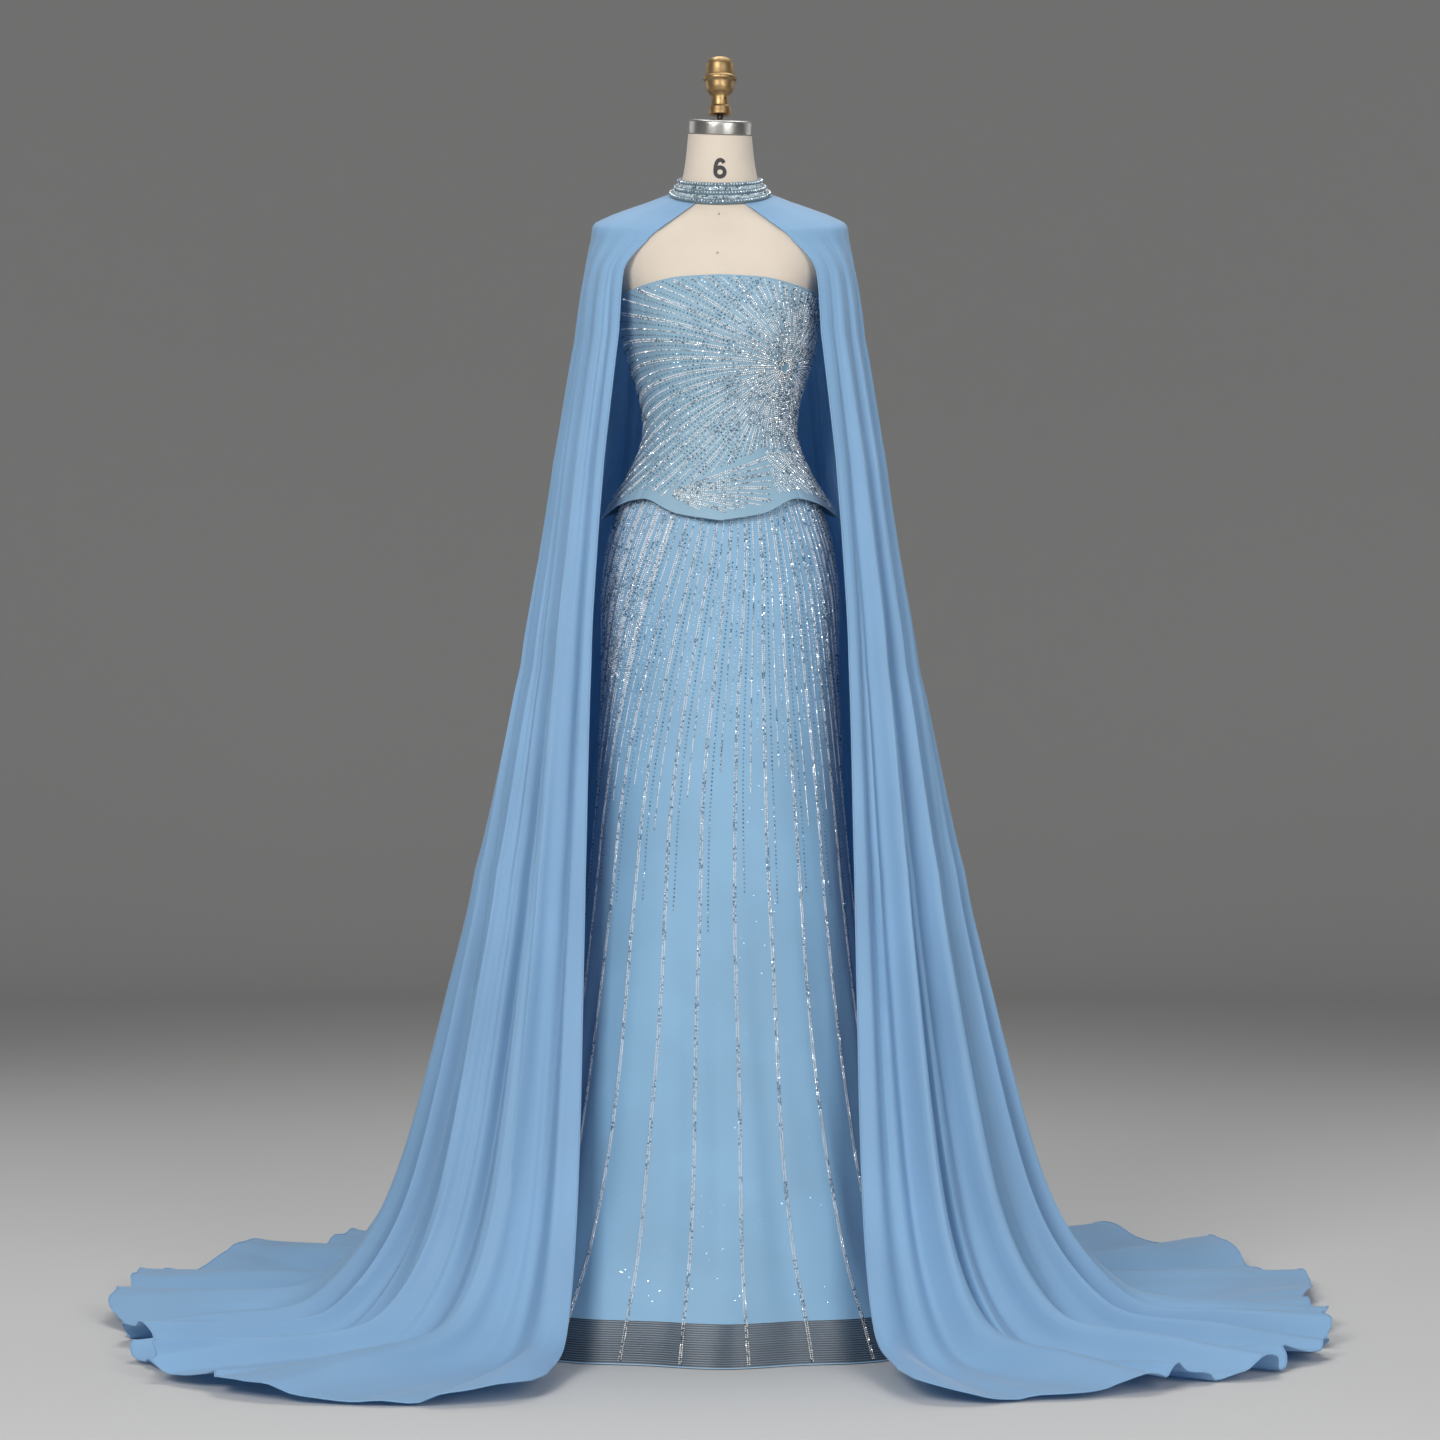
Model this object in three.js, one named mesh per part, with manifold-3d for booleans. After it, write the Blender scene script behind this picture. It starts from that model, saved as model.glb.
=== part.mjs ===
// A mermaid evening dress with a beaded bodice, flared basque and long cape, worn by a limbless dress form.
// Millimetres. +Z is up, the front of the dress faces -Y, and the wearer's centre line is X = 0.
// The dress form stands on the underside of its base at Z = 0.
import * as THREE from 'three';
import { mergeVertices } from 'three/addons/utils/BufferGeometryUtils.js';
import Module from 'manifold-3d';

const wasm = await Module();
wasm.setup();
const part = new THREE.Group();
const degree = Math.PI / 180;

// Gaps and cloth thicknesses
const seamTrim = 0.2;
const bodiceWall = 1.8;
const skirtWall = 1.4;
const capeWall = 1.4;
const liningWall = 1.2;
const braidWall = 1;

// The dress form by level. A level is the height of a section at its side.
// Each section drops at the front and rises at the back, as a neck and shoulders do.
const formSections = [
  { level: 1000, halfWidth: 150, front: 112, back: 138, drop: 0, rise: 0 },
  { level: 1100, halfWidth: 167, front: 124, back: 152, drop: 0, rise: 0 },
  { level: 1200, halfWidth: 150, front: 117, back: 135, drop: 0, rise: 0 },
  { level: 1240, halfWidth: 138, front: 112, back: 124, drop: 0, rise: 0 },
  { level: 1270, halfWidth: 128.5, front: 109, back: 116, drop: 0, rise: 0 },
  { level: 1304, halfWidth: 115.5, front: 105, back: 108, drop: 0, rise: 0 },
  { level: 1335, halfWidth: 109.5, front: 103, back: 103, drop: 0, rise: 0 },
  { level: 1368, halfWidth: 112.2, front: 106, back: 103, drop: 0, rise: 0 },
  { level: 1400, halfWidth: 120.2, front: 112, back: 105, drop: 0, rise: 0 },
  { level: 1436, halfWidth: 132, front: 120, back: 109, drop: 0, rise: 0 },
  { level: 1470, halfWidth: 140, front: 126, back: 113, drop: 0, rise: 0 },
  { level: 1504, halfWidth: 144, front: 126, back: 116, drop: 0, rise: 0 },
  { level: 1540, halfWidth: 150, front: 118, back: 118, drop: 0, rise: 0 },
  { level: 1570, halfWidth: 167, front: 107, back: 118, drop: 5, rise: 3 },
  { level: 1598, halfWidth: 181, front: 98, back: 116, drop: 12, rise: 8 },
  { level: 1622, halfWidth: 187, front: 90, back: 112, drop: 19, rise: 15 },
  { level: 1640, halfWidth: 184.5, front: 84, back: 107, drop: 24, rise: 21 },
  { level: 1652, halfWidth: 159, front: 79, back: 100, drop: 27, rise: 27 },
  { level: 1668, halfWidth: 111, front: 73, back: 86, drop: 29, rise: 30 },
  { level: 1683, halfWidth: 73, front: 68, back: 70, drop: 24, rise: 24 },
  { level: 1695, halfWidth: 62.5, front: 60, back: 61, drop: 19, rise: 20 },
  { level: 1709, halfWidth: 56, front: 54.5, back: 55, drop: 15.5, rise: 15.5 },
  { level: 1740, halfWidth: 50.5, front: 50, back: 50, drop: 11.5, rise: 11.5 },
  { level: 1775, halfWidth: 47, front: 47, back: 47, drop: 9.2, rise: 9.2 },
];
const bustAngle = 33 * degree;
const bustLevel = 1466;
const bustDepth = 15;

// Neck cap, rod and finial. The cap leans with the neck.
const capRadius = 47.4;
const capHeight = 21.5;
const capLean = 11 * degree;
const capRoll = 2 * degree;
const capBottomZ = 1775.4;
const stemRadius = 4.5;
const stemBottomZ = 1798.5;
const stemTopZ = 1803.7;
const finialProfile = [
  { radius: 15.5, z: 1804 },
  { radius: 17, z: 1805.5 },
  { radius: 17, z: 1815 },
  { radius: 13.2, z: 1818 },
  { radius: 13.2, z: 1832 },
  { radius: 15.5, z: 1838.5 },
  { radius: 21.5, z: 1851.5 },
  { radius: 25, z: 1857 },
  { radius: 25, z: 1859.6 },
  { radius: 21.6, z: 1864 },
  { radius: 20.6, z: 1874 },
  { radius: 18.6, z: 1881 },
  { radius: 14.6, z: 1885.4 },
  { radius: 8, z: 1887.6 },
];
const setscrewRadius = 1.5;
const setscrewZ = 1827;
const setscrewTurn = 33 * degree;
const setscrewDepth = 7;

// Pole and base under the skirt
const poleRadius = 16;
const hubRadius = 29;
const hubTopZ = 52;
const baseRadius = 190;
const baseThickness = 14;

// Bodice and basque: how far the cloth stands out from the dress form, at the side, front and back
const bodiceStand = [
  { level: 1180, side: 31, front: 17, back: 19 },
  { level: 1210, side: 24, front: 13.5, back: 15 },
  { level: 1240, side: 16.5, front: 10.5, back: 12.5 },
  { level: 1270, side: 8, front: 8, back: 9 },
  { level: 1304, side: 5.2, front: 5.2, back: 5.2 },
  { level: 1332, side: 3.5, front: 3.5, back: 3.5 },
  { level: 1350, side: 3.3, front: 3.3, back: 3.3 },
  { level: 1450, side: 3.3, front: 4, back: 3.3 },
  { level: 1500, side: 3.3, front: 4, back: 3.3 },
  { level: 1600, side: 3.3, front: 3.3, back: 3.3 },
];
const bodiceEdges = [
  { angle: 0, top: 1552, hem: 1195 },
  { angle: 22, top: 1549, hem: 1206 },
  { angle: 45, top: 1540, hem: 1230 },
  { angle: 68, top: 1532, hem: 1221 },
  { angle: 92, top: 1522, hem: 1208 },
  { angle: 125, top: 1502, hem: 1226 },
  { angle: 155, top: 1492, hem: 1214 },
  { angle: 180, top: 1490, hem: 1198 },
];
const princessAngle = 47 * degree;
const bodiceSideAngle = 92 * degree;
const zipHalfAngle = 1.5 * degree;
const bodiceRows = 12;
const basqueWaves = 7;
const basqueWaveDepth = 3.2;

// Skirt sections. The wave is how deep its soft upright flares are.
const skirtSections = [
  { z: 0, halfWidth: 362, front: 270, back: 335, wave: 8 },
  { z: 60.5, halfWidth: 334, front: 254, back: 310, wave: 6.5 },
  { z: 150, halfWidth: 291, front: 226, back: 271, wave: 5 },
  { z: 300, halfWidth: 249, front: 195, back: 226, wave: 3 },
  { z: 500, halfWidth: 214.5, front: 170, back: 191, wave: 1.6 },
  { z: 700, halfWidth: 190.5, front: 153, back: 170, wave: 0.8 },
  { z: 880, halfWidth: 177.5, front: 140, back: 162, wave: 0.3 },
  { z: 1000, halfWidth: 174.5, front: 133, back: 160, wave: 0 },
  { z: 1087, halfWidth: 175, front: 131, back: 159, wave: 0 },
  { z: 1150, halfWidth: 169, front: 127, back: 153, wave: 0 },
  { z: 1200, halfWidth: 157.5, front: 121.5, back: 141, wave: 0 },
  { z: 1250, halfWidth: 140, front: 115, back: 126, wave: 0 },
  { z: 1300, halfWidth: 119.7, front: 108.2, back: 111.8, wave: 0 },
];
const skirtFlares = 9;
const skirtSideAngle = 88 * degree;
const skirtTopZ = 1300;
const skirtHemZ = 60.9;
const braidTopZ = 60.5;
const braidBottomZ = 0.5;
const liningTopZ = 76;
const liningBottomZ = 32;

// Collar: a band that stands on the neck, with three raised rows. Out is the distance from the neck.
const collarProfile = [
  { level: 1683.4, out: 0.8 },
  { level: 1683.4, out: 5.2 },
  { level: 1687.2, out: 5.4 },
  { level: 1688.2, out: 3.4 },
  { level: 1692.2, out: 3.4 },
  { level: 1693.2, out: 5.4 },
  { level: 1697.4, out: 5.4 },
  { level: 1698.4, out: 3.4 },
  { level: 1703, out: 3.4 },
  { level: 1704, out: 5.2 },
  { level: 1708.4, out: 5 },
  { level: 1708.8, out: 0.8 },
];
const collarGapAngle = 177.6 * degree;
const collarSteps = 36;

// Cape sections over the shoulders follow the dress form. The front edge of each half stands at openX.
const shoulderSections = [
  { level: 1683, clear: 1.2, openX: 37, fold: 0 },
  { level: 1668, clear: 2, openX: 62, fold: 0 },
  { level: 1652, clear: 2, openX: 81, fold: 0.1 },
  { level: 1640, clear: 2, openX: 94, fold: 0.3 },
  { level: 1622, clear: 2.2, openX: 108, fold: 0.7 },
];
// Below the shoulders the cape hangs free
const hangingSections = [
  { z: 1560, halfWidth: 202, front: 118, back: 136, openX: 141, fold: 1.8 },
  { z: 1480, halfWidth: 213, front: 138, back: 166, openX: 147, fold: 3.5 },
  { z: 1280, halfWidth: 240.5, front: 160, back: 212, openX: 168, fold: 8 },
  { z: 1150, halfWidth: 258.5, front: 172, back: 240, openX: 178, fold: 10.5 },
  { z: 1000, halfWidth: 283.5, front: 179, back: 276, openX: 186, fold: 13 },
  { z: 670, halfWidth: 347, front: 192, back: 364, openX: 193, fold: 18 },
  { z: 500, halfWidth: 387, front: 204, back: 416, openX: 196, fold: 21 },
  { z: 350, halfWidth: 425, front: 227, back: 485, openX: 198, fold: 23 },
  { z: 220, halfWidth: 460, front: 265, back: 565, openX: 200, fold: 24 },
  { z: 120, halfWidth: 507, front: 304, back: 645, openX: 205, fold: 22 },
  { z: 48, halfWidth: 575, front: 330, back: 715, openX: 210, fold: 17 },
];
// On the floor the folds only stand up. Spread runs from the last hanging section to the hem.
const floorSections = [
  { spread: 0.16, fold: 11 },
  { spread: 0.55, fold: 9 },
  { spread: 1, fold: 6 },
];
const hemOutline = [
  { angle: 20, left: 600, right: 640 },
  { angle: 35, left: 674, right: 645 },
  { angle: 45, left: 748, right: 695 },
  { angle: 55, left: 806, right: 736 },
  { angle: 65, left: 848, right: 815 },
  { angle: 78, left: 842, right: 875 },
  { angle: 90, left: 884, right: 890 },
  { angle: 102, left: 946, right: 938 },
  { angle: 115, left: 1016, right: 1030 },
  { angle: 127, left: 1062, right: 1090 },
  { angle: 140, left: 1090, right: 1160 },
  { angle: 152, left: 1118, right: 1168 },
  { angle: 166, left: 1146, right: 1146 },
  { angle: 180, left: 1150, right: 1150 },
];
const floorLift = 2;
const capeFolds = 11;
const stepsPerFold = 4;
const capeSideStep = 20;
const hemWave = 15;

// Zip tape, slider and pull tab at the centre back
const zipTapeWall = 1.6;
const zipRows = 10;
const sliderZ = 1478;
const sliderWidth = 7;
const sliderHeight = 11;
const sliderThickness = 3;
const bridgeWidth = 1.6;
const bridgeHeight = 4.4;
const pullLength = 24;
const pullWidth = 6;
const pullThickness = 1.2;
const pullBar = 1.4;

// Smooth value of one column of a table, at a value of its key column
function readTable(rows, key, column, at) {
  const sorted = [...rows].sort((first, second) => first[key] - second[key]);
  const last = sorted.length - 1;
  const slopes = [];
  for (let i = 0; i < last; i += 1) {
    const run = sorted[i + 1][key] - sorted[i][key];
    slopes.push((sorted[i + 1][column] - sorted[i][column]) / run);
  }
  const tangent = (i) => {
    if (i === 0) return slopes[0];
    if (i === last) return slopes[last - 1];
    if (slopes[i - 1] * slopes[i] <= 0) return 0;
    return (2 * slopes[i - 1] * slopes[i]) / (slopes[i - 1] + slopes[i]);
  };
  const inside = THREE.MathUtils.clamp(at, sorted[0][key], sorted[last][key]);
  let i = 0;
  while (i < last - 1 && inside > sorted[i + 1][key]) i += 1;
  const run = sorted[i + 1][key] - sorted[i][key];
  const s = (inside - sorted[i][key]) / run;
  const start = sorted[i][column] * (1 + 2 * s) * (1 - s) ** 2;
  const end = sorted[i + 1][column] * (3 - 2 * s) * s ** 2;
  const bend = run * (tangent(i) * s * (1 - s) ** 2 - tangent(i + 1) * (1 - s) * s ** 2);
  return start + end + bend;
}

// A number between 0 and 1 that rises as the value goes from low to high
function ramp(value, low, high) {
  return THREE.MathUtils.smoothstep(value, low, high);
}

// A point on an oval section. Angle 0 is the centre front, and a positive angle turns to +X.
function ovalPoint(section, angle, z) {
  const depth = Math.cos(angle) > 0 ? section.front : section.back;
  return new THREE.Vector3(section.halfWidth * Math.sin(angle), -depth * Math.cos(angle), z);
}

// The outward normal of a surface given by angle and height
function normalOf(surface, angle, height) {
  const alongAngle = surface(angle + 0.004, height).sub(surface(angle - 0.004, height));
  const alongHeight = surface(angle, height + 0.8).sub(surface(angle, height - 0.8));
  return alongAngle.cross(alongHeight).normalize();
}

// Evenly spaced values from first to last
function spaced(first, last, steps) {
  return Array.from({ length: steps + 1 }, (_, i) => first + ((last - first) * i) / steps);
}

// Gives a triangle list as a geometry whose faces point out
function closedGeometry(points, triangles) {
  let volume = 0;
  for (const [a, b, c] of triangles) {
    volume += points[a].dot(points[b].clone().cross(points[c]));
  }
  const outward = volume > 0 ? triangles : triangles.map(([a, b, c]) => [a, c, b]);
  const geometry = new THREE.BufferGeometry();
  geometry.setAttribute('position', new THREE.Float32BufferAttribute(points.flatMap((p) => p.toArray()), 3));
  geometry.setIndex(outward.flat());
  geometry.computeVertexNormals();
  return geometry;
}

function addMesh(name, geometry, colour) {
  const material = new THREE.MeshStandardMaterial({ color: colour, side: THREE.DoubleSide });
  const mesh = new THREE.Mesh(geometry, material);
  mesh.name = name;
  part.add(mesh);
}

// Moves the end columns of a panel in by the seam trim
function trimSeams(grid) {
  const last = grid.length - 1;
  for (let row = 0; row < grid[0].length; row += 1) {
    const startStep = grid[1][row].clone().sub(grid[0][row]).setLength(seamTrim);
    const endStep = grid[last - 1][row].clone().sub(grid[last][row]).setLength(seamTrim);
    grid[0][row].add(startStep);
    grid[last][row].add(endStep);
  }
}

// A cloth wall between an outer and an inner grid of points, closed along its edges.
// Grids are lists of columns, and a round wall joins its last column to its first.
function clothWall(outer, inner, round = false) {
  if (!round) {
    trimSeams(outer);
    trimSeams(inner);
  }
  const columns = outer.length;
  const rows = outer[0].length;
  const points = [...outer.flat(), ...inner.flat()];
  const outerAt = (column, row) => (column % columns) * rows + row;
  const innerAt = (column, row) => columns * rows + outerAt(column, row);
  const triangles = [];
  const quad = (a, b, c, d) => triangles.push([a, b, c], [a, c, d]);
  const bands = round ? columns : columns - 1;
  for (let i = 0; i < bands; i += 1) {
    for (let j = 0; j < rows - 1; j += 1) {
      quad(outerAt(i, j), outerAt(i + 1, j), outerAt(i + 1, j + 1), outerAt(i, j + 1));
      quad(innerAt(i, j), innerAt(i, j + 1), innerAt(i + 1, j + 1), innerAt(i + 1, j));
    }
    quad(outerAt(i, 0), innerAt(i, 0), innerAt(i + 1, 0), outerAt(i + 1, 0));
    quad(outerAt(i, rows - 1), outerAt(i + 1, rows - 1), innerAt(i + 1, rows - 1), innerAt(i, rows - 1));
  }
  if (!round) {
    for (let j = 0; j < rows - 1; j += 1) {
      quad(outerAt(0, j), outerAt(0, j + 1), innerAt(0, j + 1), innerAt(0, j));
      const end = columns - 1;
      quad(outerAt(end, j), innerAt(end, j), innerAt(end, j + 1), outerAt(end, j + 1));
    }
  }
  return closedGeometry(points, triangles);
}

// A solid body through a list of rings of points, closed with a flat cap at each end
function ringBody(rings) {
  const around = rings[0].length;
  const points = rings.flat();
  const middle = (ring) => ring.reduce((sum, p) => sum.add(p), new THREE.Vector3()).divideScalar(around);
  const bottom = points.push(middle(rings[0])) - 1;
  const top = points.push(middle(rings[rings.length - 1])) - 1;
  const triangles = [];
  for (let i = 0; i < around; i += 1) {
    const next = (i + 1) % around;
    for (let j = 0; j < rings.length - 1; j += 1) {
      const low = j * around;
      const high = low + around;
      triangles.push([low + i, low + next, high + next], [low + i, high + next, high + i]);
    }
    const highest = (rings.length - 1) * around;
    triangles.push([bottom, next, i], [top, highest + i, highest + next]);
  }
  return closedGeometry(points, triangles);
}

// A closed profile loop carried round the neck, with a flat end at each side of its gap
function sweptLoop(loops) {
  const size = loops[0].length;
  const points = loops.flat();
  const triangles = [];
  for (let i = 0; i < loops.length - 1; i += 1) {
    for (let j = 0; j < size; j += 1) {
      const next = (j + 1) % size;
      const here = i * size;
      const there = here + size;
      triangles.push([here + j, there + j, there + next], [here + j, there + next, here + next]);
    }
  }
  const end = (loops.length - 1) * size;
  const outline = loops[0].map((p, j) => new THREE.Vector2(collarProfile[j].out, collarProfile[j].level));
  for (const [a, b, c] of THREE.ShapeUtils.triangulateShape(outline, [])) {
    triangles.push([a, b, c], [end + a, end + c, end + b]);
  }
  return closedGeometry(points, triangles);
}

// A turned body from a profile of radius and height, closed on its axis
function turned(profile, segments) {
  const points = profile.map(({ radius, z }) => new THREE.Vector2(radius, z));
  points.unshift(new THREE.Vector2(0, profile[0].z));
  points.push(new THREE.Vector2(0, profile[profile.length - 1].z));
  const geometry = new THREE.LatheGeometry(points, segments);
  return geometry.rotateX(Math.PI / 2);
}

// Solids for cutting and joining
function toSolid(geometry) {
  const bare = geometry.clone().deleteAttribute('normal');
  bare.deleteAttribute('uv');
  const merged = mergeVertices(bare, 1e-4);
  const mesh = new wasm.Mesh({
    numProp: 3,
    vertProperties: merged.attributes.position.array,
    triVerts: new Uint32Array(merged.index.array),
  });
  return new wasm.Manifold(mesh);
}

function toGeometry(solid) {
  const mesh = solid.getMesh();
  const geometry = new THREE.BufferGeometry();
  geometry.setAttribute('position', new THREE.BufferAttribute(mesh.vertProperties, 3));
  geometry.setIndex(new THREE.BufferAttribute(mesh.triVerts, 1));
  geometry.computeVertexNormals();
  return geometry;
}

// Dress form surface
function formSection(level) {
  const section = {};
  for (const column of ['halfWidth', 'front', 'back', 'drop', 'rise']) {
    section[column] = readTable(formSections, 'level', column, level);
  }
  return section;
}

function formPoint(angle, level) {
  const section = formSection(level);
  const lean = Math.cos(angle) > 0 ? section.drop : section.rise;
  const point = ovalPoint(section, angle, level - lean * Math.cos(angle));
  const across = (Math.abs(angle) - bustAngle) / (19 * degree);
  const along = (level - bustLevel) / (level > bustLevel ? 52 : 44);
  const swell = bustDepth * Math.exp(-(across ** 2) - along ** 2);
  point.x += swell * Math.sin(angle) * 0.5;
  point.y -= swell * Math.cos(angle);
  point.z -= point.x * Math.tan(capRoll) * ramp(level, 1709, 1775);
  return point;
}

function offForm(angle, level, distance) {
  return formPoint(angle, level).addScaledVector(normalOf(formPoint, angle, level), distance);
}

function buildForm() {
  const turns = spaced(-Math.PI, Math.PI, 42).slice(0, 42);
  const rings = formSections.map(({ level }) => turns.map((angle) => formPoint(angle, level)));
  addMesh('form_torso', ringBody(rings), 0xebded0);
}

function buildNeckCap() {
  const profile = [
    { radius: capRadius - 1, z: 0 },
    { radius: capRadius, z: 1 },
    { radius: capRadius, z: capHeight - 4 },
    { radius: capRadius - 1.2, z: capHeight - 1.6 },
    { radius: capRadius - 4, z: capHeight - 0.3 },
    { radius: capRadius - 9, z: capHeight },
  ];
  const geometry = turned(profile, 30);
  geometry.rotateY(capRoll);
  geometry.rotateX(capLean);
  geometry.translate(0, 0, capBottomZ);
  addMesh('form_neck_cap', geometry, 0x8d8f92);
}

function buildStem() {
  const profile = [
    { radius: stemRadius, z: stemBottomZ },
    { radius: stemRadius, z: stemTopZ },
  ];
  addMesh('form_stem', turned(profile, 20), 0x26262a);
}

function buildFinial() {
  const knob = toSolid(turned(finialProfile, 24));
  const drill = new THREE.CylinderGeometry(setscrewRadius, setscrewRadius, setscrewDepth * 2, 16);
  drill.translate(0, -13.2, 0);
  drill.rotateZ(setscrewTurn);
  drill.translate(0, 0, setscrewZ);
  addMesh('form_finial', toGeometry(knob.subtract(toSolid(drill))), 0x9a8158);
}

function buildStand() {
  const pole = [
    { radius: poleRadius, z: hubTopZ + 0.3 },
    { radius: poleRadius, z: formSections[0].level - 0.3 },
  ];
  addMesh('form_pole', turned(pole, 24), 0xd9d6d0);
  const base = [
    { radius: baseRadius - 2, z: 0 },
    { radius: baseRadius, z: 2 },
    { radius: baseRadius, z: baseThickness - 4 },
    { radius: baseRadius - 4, z: baseThickness },
    { radius: hubRadius + 9, z: baseThickness + 2 },
    { radius: hubRadius, z: baseThickness + 10 },
    { radius: hubRadius, z: hubTopZ - 3 },
    { radius: hubRadius - 3, z: hubTopZ },
  ];
  addMesh('form_base', turned(base, 32), 0xd9d6d0);
}

// Bodice cut in one with its basque
function standOff(angle, level) {
  const side = readTable(bodiceStand, 'level', 'side', level);
  const middle = readTable(bodiceStand, 'level', Math.cos(angle) > 0 ? 'front' : 'back', level);
  const blend = Math.sin(angle) ** 2;
  const wave = basqueWaveDepth * (1 - ramp(level, 1195, 1285)) * (1 + Math.cos(basqueWaves * angle));
  return side * blend + middle * (1 - blend) + wave;
}

function bodicePoint(angle, level, inward) {
  const point = formPoint(angle, level);
  const outward = new THREE.Vector3(Math.sin(angle), -Math.cos(angle), 0);
  return point.addScaledVector(outward, standOff(angle, level) - inward);
}

function bodiceLevel(angle, share) {
  const turn = Math.abs(angle) / degree;
  const top = readTable(bodiceEdges, 'angle', 'top', turn);
  const hem = readTable(bodiceEdges, 'angle', 'hem', turn);
  return hem + (top - hem) * share;
}

function bodicePanel(name, fromAngle, toAngle, steps) {
  const shares = spaced(0, 1, bodiceRows);
  const column = (inward) => (angle) => shares.map((share) => bodicePoint(angle, bodiceLevel(angle, share), inward));
  const turns = spaced(fromAngle, toAngle, steps);
  addMesh(name, clothWall(turns.map(column(0)), turns.map(column(bodiceWall))), 0xcfe0ea);
}

function buildBodice() {
  const zipAngle = Math.PI - zipHalfAngle;
  bodicePanel('bodice_front_centre', -princessAngle, princessAngle, 12);
  bodicePanel('bodice_front_left', -bodiceSideAngle, -princessAngle, 6);
  bodicePanel('bodice_front_right', princessAngle, bodiceSideAngle, 6);
  bodicePanel('bodice_back_left', -zipAngle, -bodiceSideAngle, 10);
  bodicePanel('bodice_back_right', bodiceSideAngle, zipAngle, 10);
}

// Skirt, lining edge and hem braid
function skirtPoint(angle, z) {
  const section = {};
  for (const column of ['halfWidth', 'front', 'back', 'wave']) {
    section[column] = readTable(skirtSections, 'z', column, z);
  }
  const wave = section.wave * Math.cos(skirtFlares * angle + 0.5 * Math.sin(2 * angle));
  const point = ovalPoint(section, angle, z);
  point.x += wave * Math.sin(angle);
  point.y -= wave * Math.cos(angle);
  return point;
}

function skirtGrid(turns, heights, inward) {
  return turns.map((angle) =>
    heights.map((z) => {
      const outward = new THREE.Vector3(Math.sin(angle), -Math.cos(angle), 0);
      return skirtPoint(angle, z).addScaledVector(outward, -inward);
    }),
  );
}

function skirtPanel(name, turns, heights, out, wall, colour) {
  const outer = skirtGrid(turns, heights, out);
  const inner = skirtGrid(turns, heights, out + wall);
  addMesh(name, clothWall(outer, inner), colour);
}

function buildSkirt() {
  const front = spaced(-skirtSideAngle, skirtSideAngle, 26);
  const right = spaced(skirtSideAngle, Math.PI, 13);
  const left = spaced(-Math.PI, -skirtSideAngle, 13);
  const cloth = [skirtHemZ, 150, 260, 400, 560, 740, 920, 1087, 1160, 1230, skirtTopZ];
  skirtPanel('skirt_front', front, cloth, 0, skirtWall, 0xdfe9ef);
  skirtPanel('skirt_back_right', right, cloth, 0, skirtWall, 0xdfe9ef);
  skirtPanel('skirt_back_left', left, cloth, 0, skirtWall, 0xdfe9ef);
  const braid = spaced(braidBottomZ, braidTopZ, 2);
  skirtPanel('hem_braid_front', front, braid, 0.2, braidWall, 0xeef4f8);
  const back = [...right, ...spaced(Math.PI, 2 * Math.PI - skirtSideAngle, 13).slice(1)];
  skirtPanel('hem_braid_back', back, braid, 0.2, braidWall, 0xeef4f8);
  const ring = [...front, ...back.slice(1, -1)];
  const lining = spaced(liningBottomZ, liningTopZ, 1);
  const outer = skirtGrid(ring, lining, skirtWall + 0.4);
  const inner = skirtGrid(ring, lining, skirtWall + 0.4 + liningWall);
  addMesh('lining_hem', clothWall(outer, inner, true), 0xe6edf2);
}

// Collar and its clasp
function buildCollar() {
  const turns = spaced(-collarGapAngle, collarGapAngle, collarSteps);
  const loops = turns.map((angle) => collarProfile.map(({ level, out }) => offForm(angle, level, out)));
  addMesh('collar_band', sweptLoop(loops), 0xc4d6e2);
  const claspTurns = spaced(Math.PI - 7 * degree, Math.PI + 7 * degree, 4);
  const claspLevels = [1693.8, 1696.9];
  const column = (distance) => (angle) => claspLevels.map((level) => offForm(angle, level, distance));
  const clasp = clothWall(claspTurns.map(column(7)), claspTurns.map(column(5.8)));
  addMesh('collar_clasp', clasp, 0xb9bcc0);
}

// Cape
function foldPhase(step, side) {
  const share = step / (capeFolds * stepsPerFold);
  const drift = side > 0 ? 0.4 : 2.1;
  const wobble = 0.035 * Math.sin(9 * share + drift) + 0.025 * Math.sin(23 * share + 2 * drift);
  return share + share * (1 - share) * wobble;
}

function foldHeight(step, side) {
  const turn = (step % stepsPerFold) * 0.5 * Math.PI;
  const depth = 0.8 + 0.2 * Math.sin(1.7 * step + side);
  const edge = ramp(step, 0, 3) * (1 - ramp(step, capeFolds * stepsPerFold - 3, capeFolds * stepsPerFold));
  return Math.sin(turn + 0.25 * Math.PI) * depth * edge;
}

// Half of the cape as columns of base points, from its front edge to the centre back
function hangingPoint(section, step, side) {
  const open = Math.asin(section.openX / section.halfWidth);
  const angle = open + (Math.PI - open) * foldPhase(step, side);
  return ovalPoint(section, side * angle, section.z);
}

function shoulderPoint(section, step, side) {
  const halfWidth = readTable(formSections, 'level', 'halfWidth', section.level) + section.clear;
  const open = Math.asin(section.openX / halfWidth);
  const angle = open + (Math.PI - open) * foldPhase(step, side);
  return offForm(side * angle, section.level, section.clear + capeWall);
}

function hemPoint(step, side) {
  const last = hangingSections[hangingSections.length - 1];
  const foot = hangingPoint(last, step, side);
  const angle = Math.acos(-foot.y / Math.hypot(foot.x, foot.y));
  const shift = 7 * degree * (1 - ramp(angle / degree, 30, 60));
  const column = side > 0 ? 'right' : 'left';
  const radius = readTable(hemOutline, 'angle', column, (angle - shift) / degree);
  const turned = side * (angle - shift);
  const wavy = radius + hemWave * foldHeight(step, side);
  return new THREE.Vector3(wavy * Math.sin(turned), -wavy * Math.cos(turned), 0);
}

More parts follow.
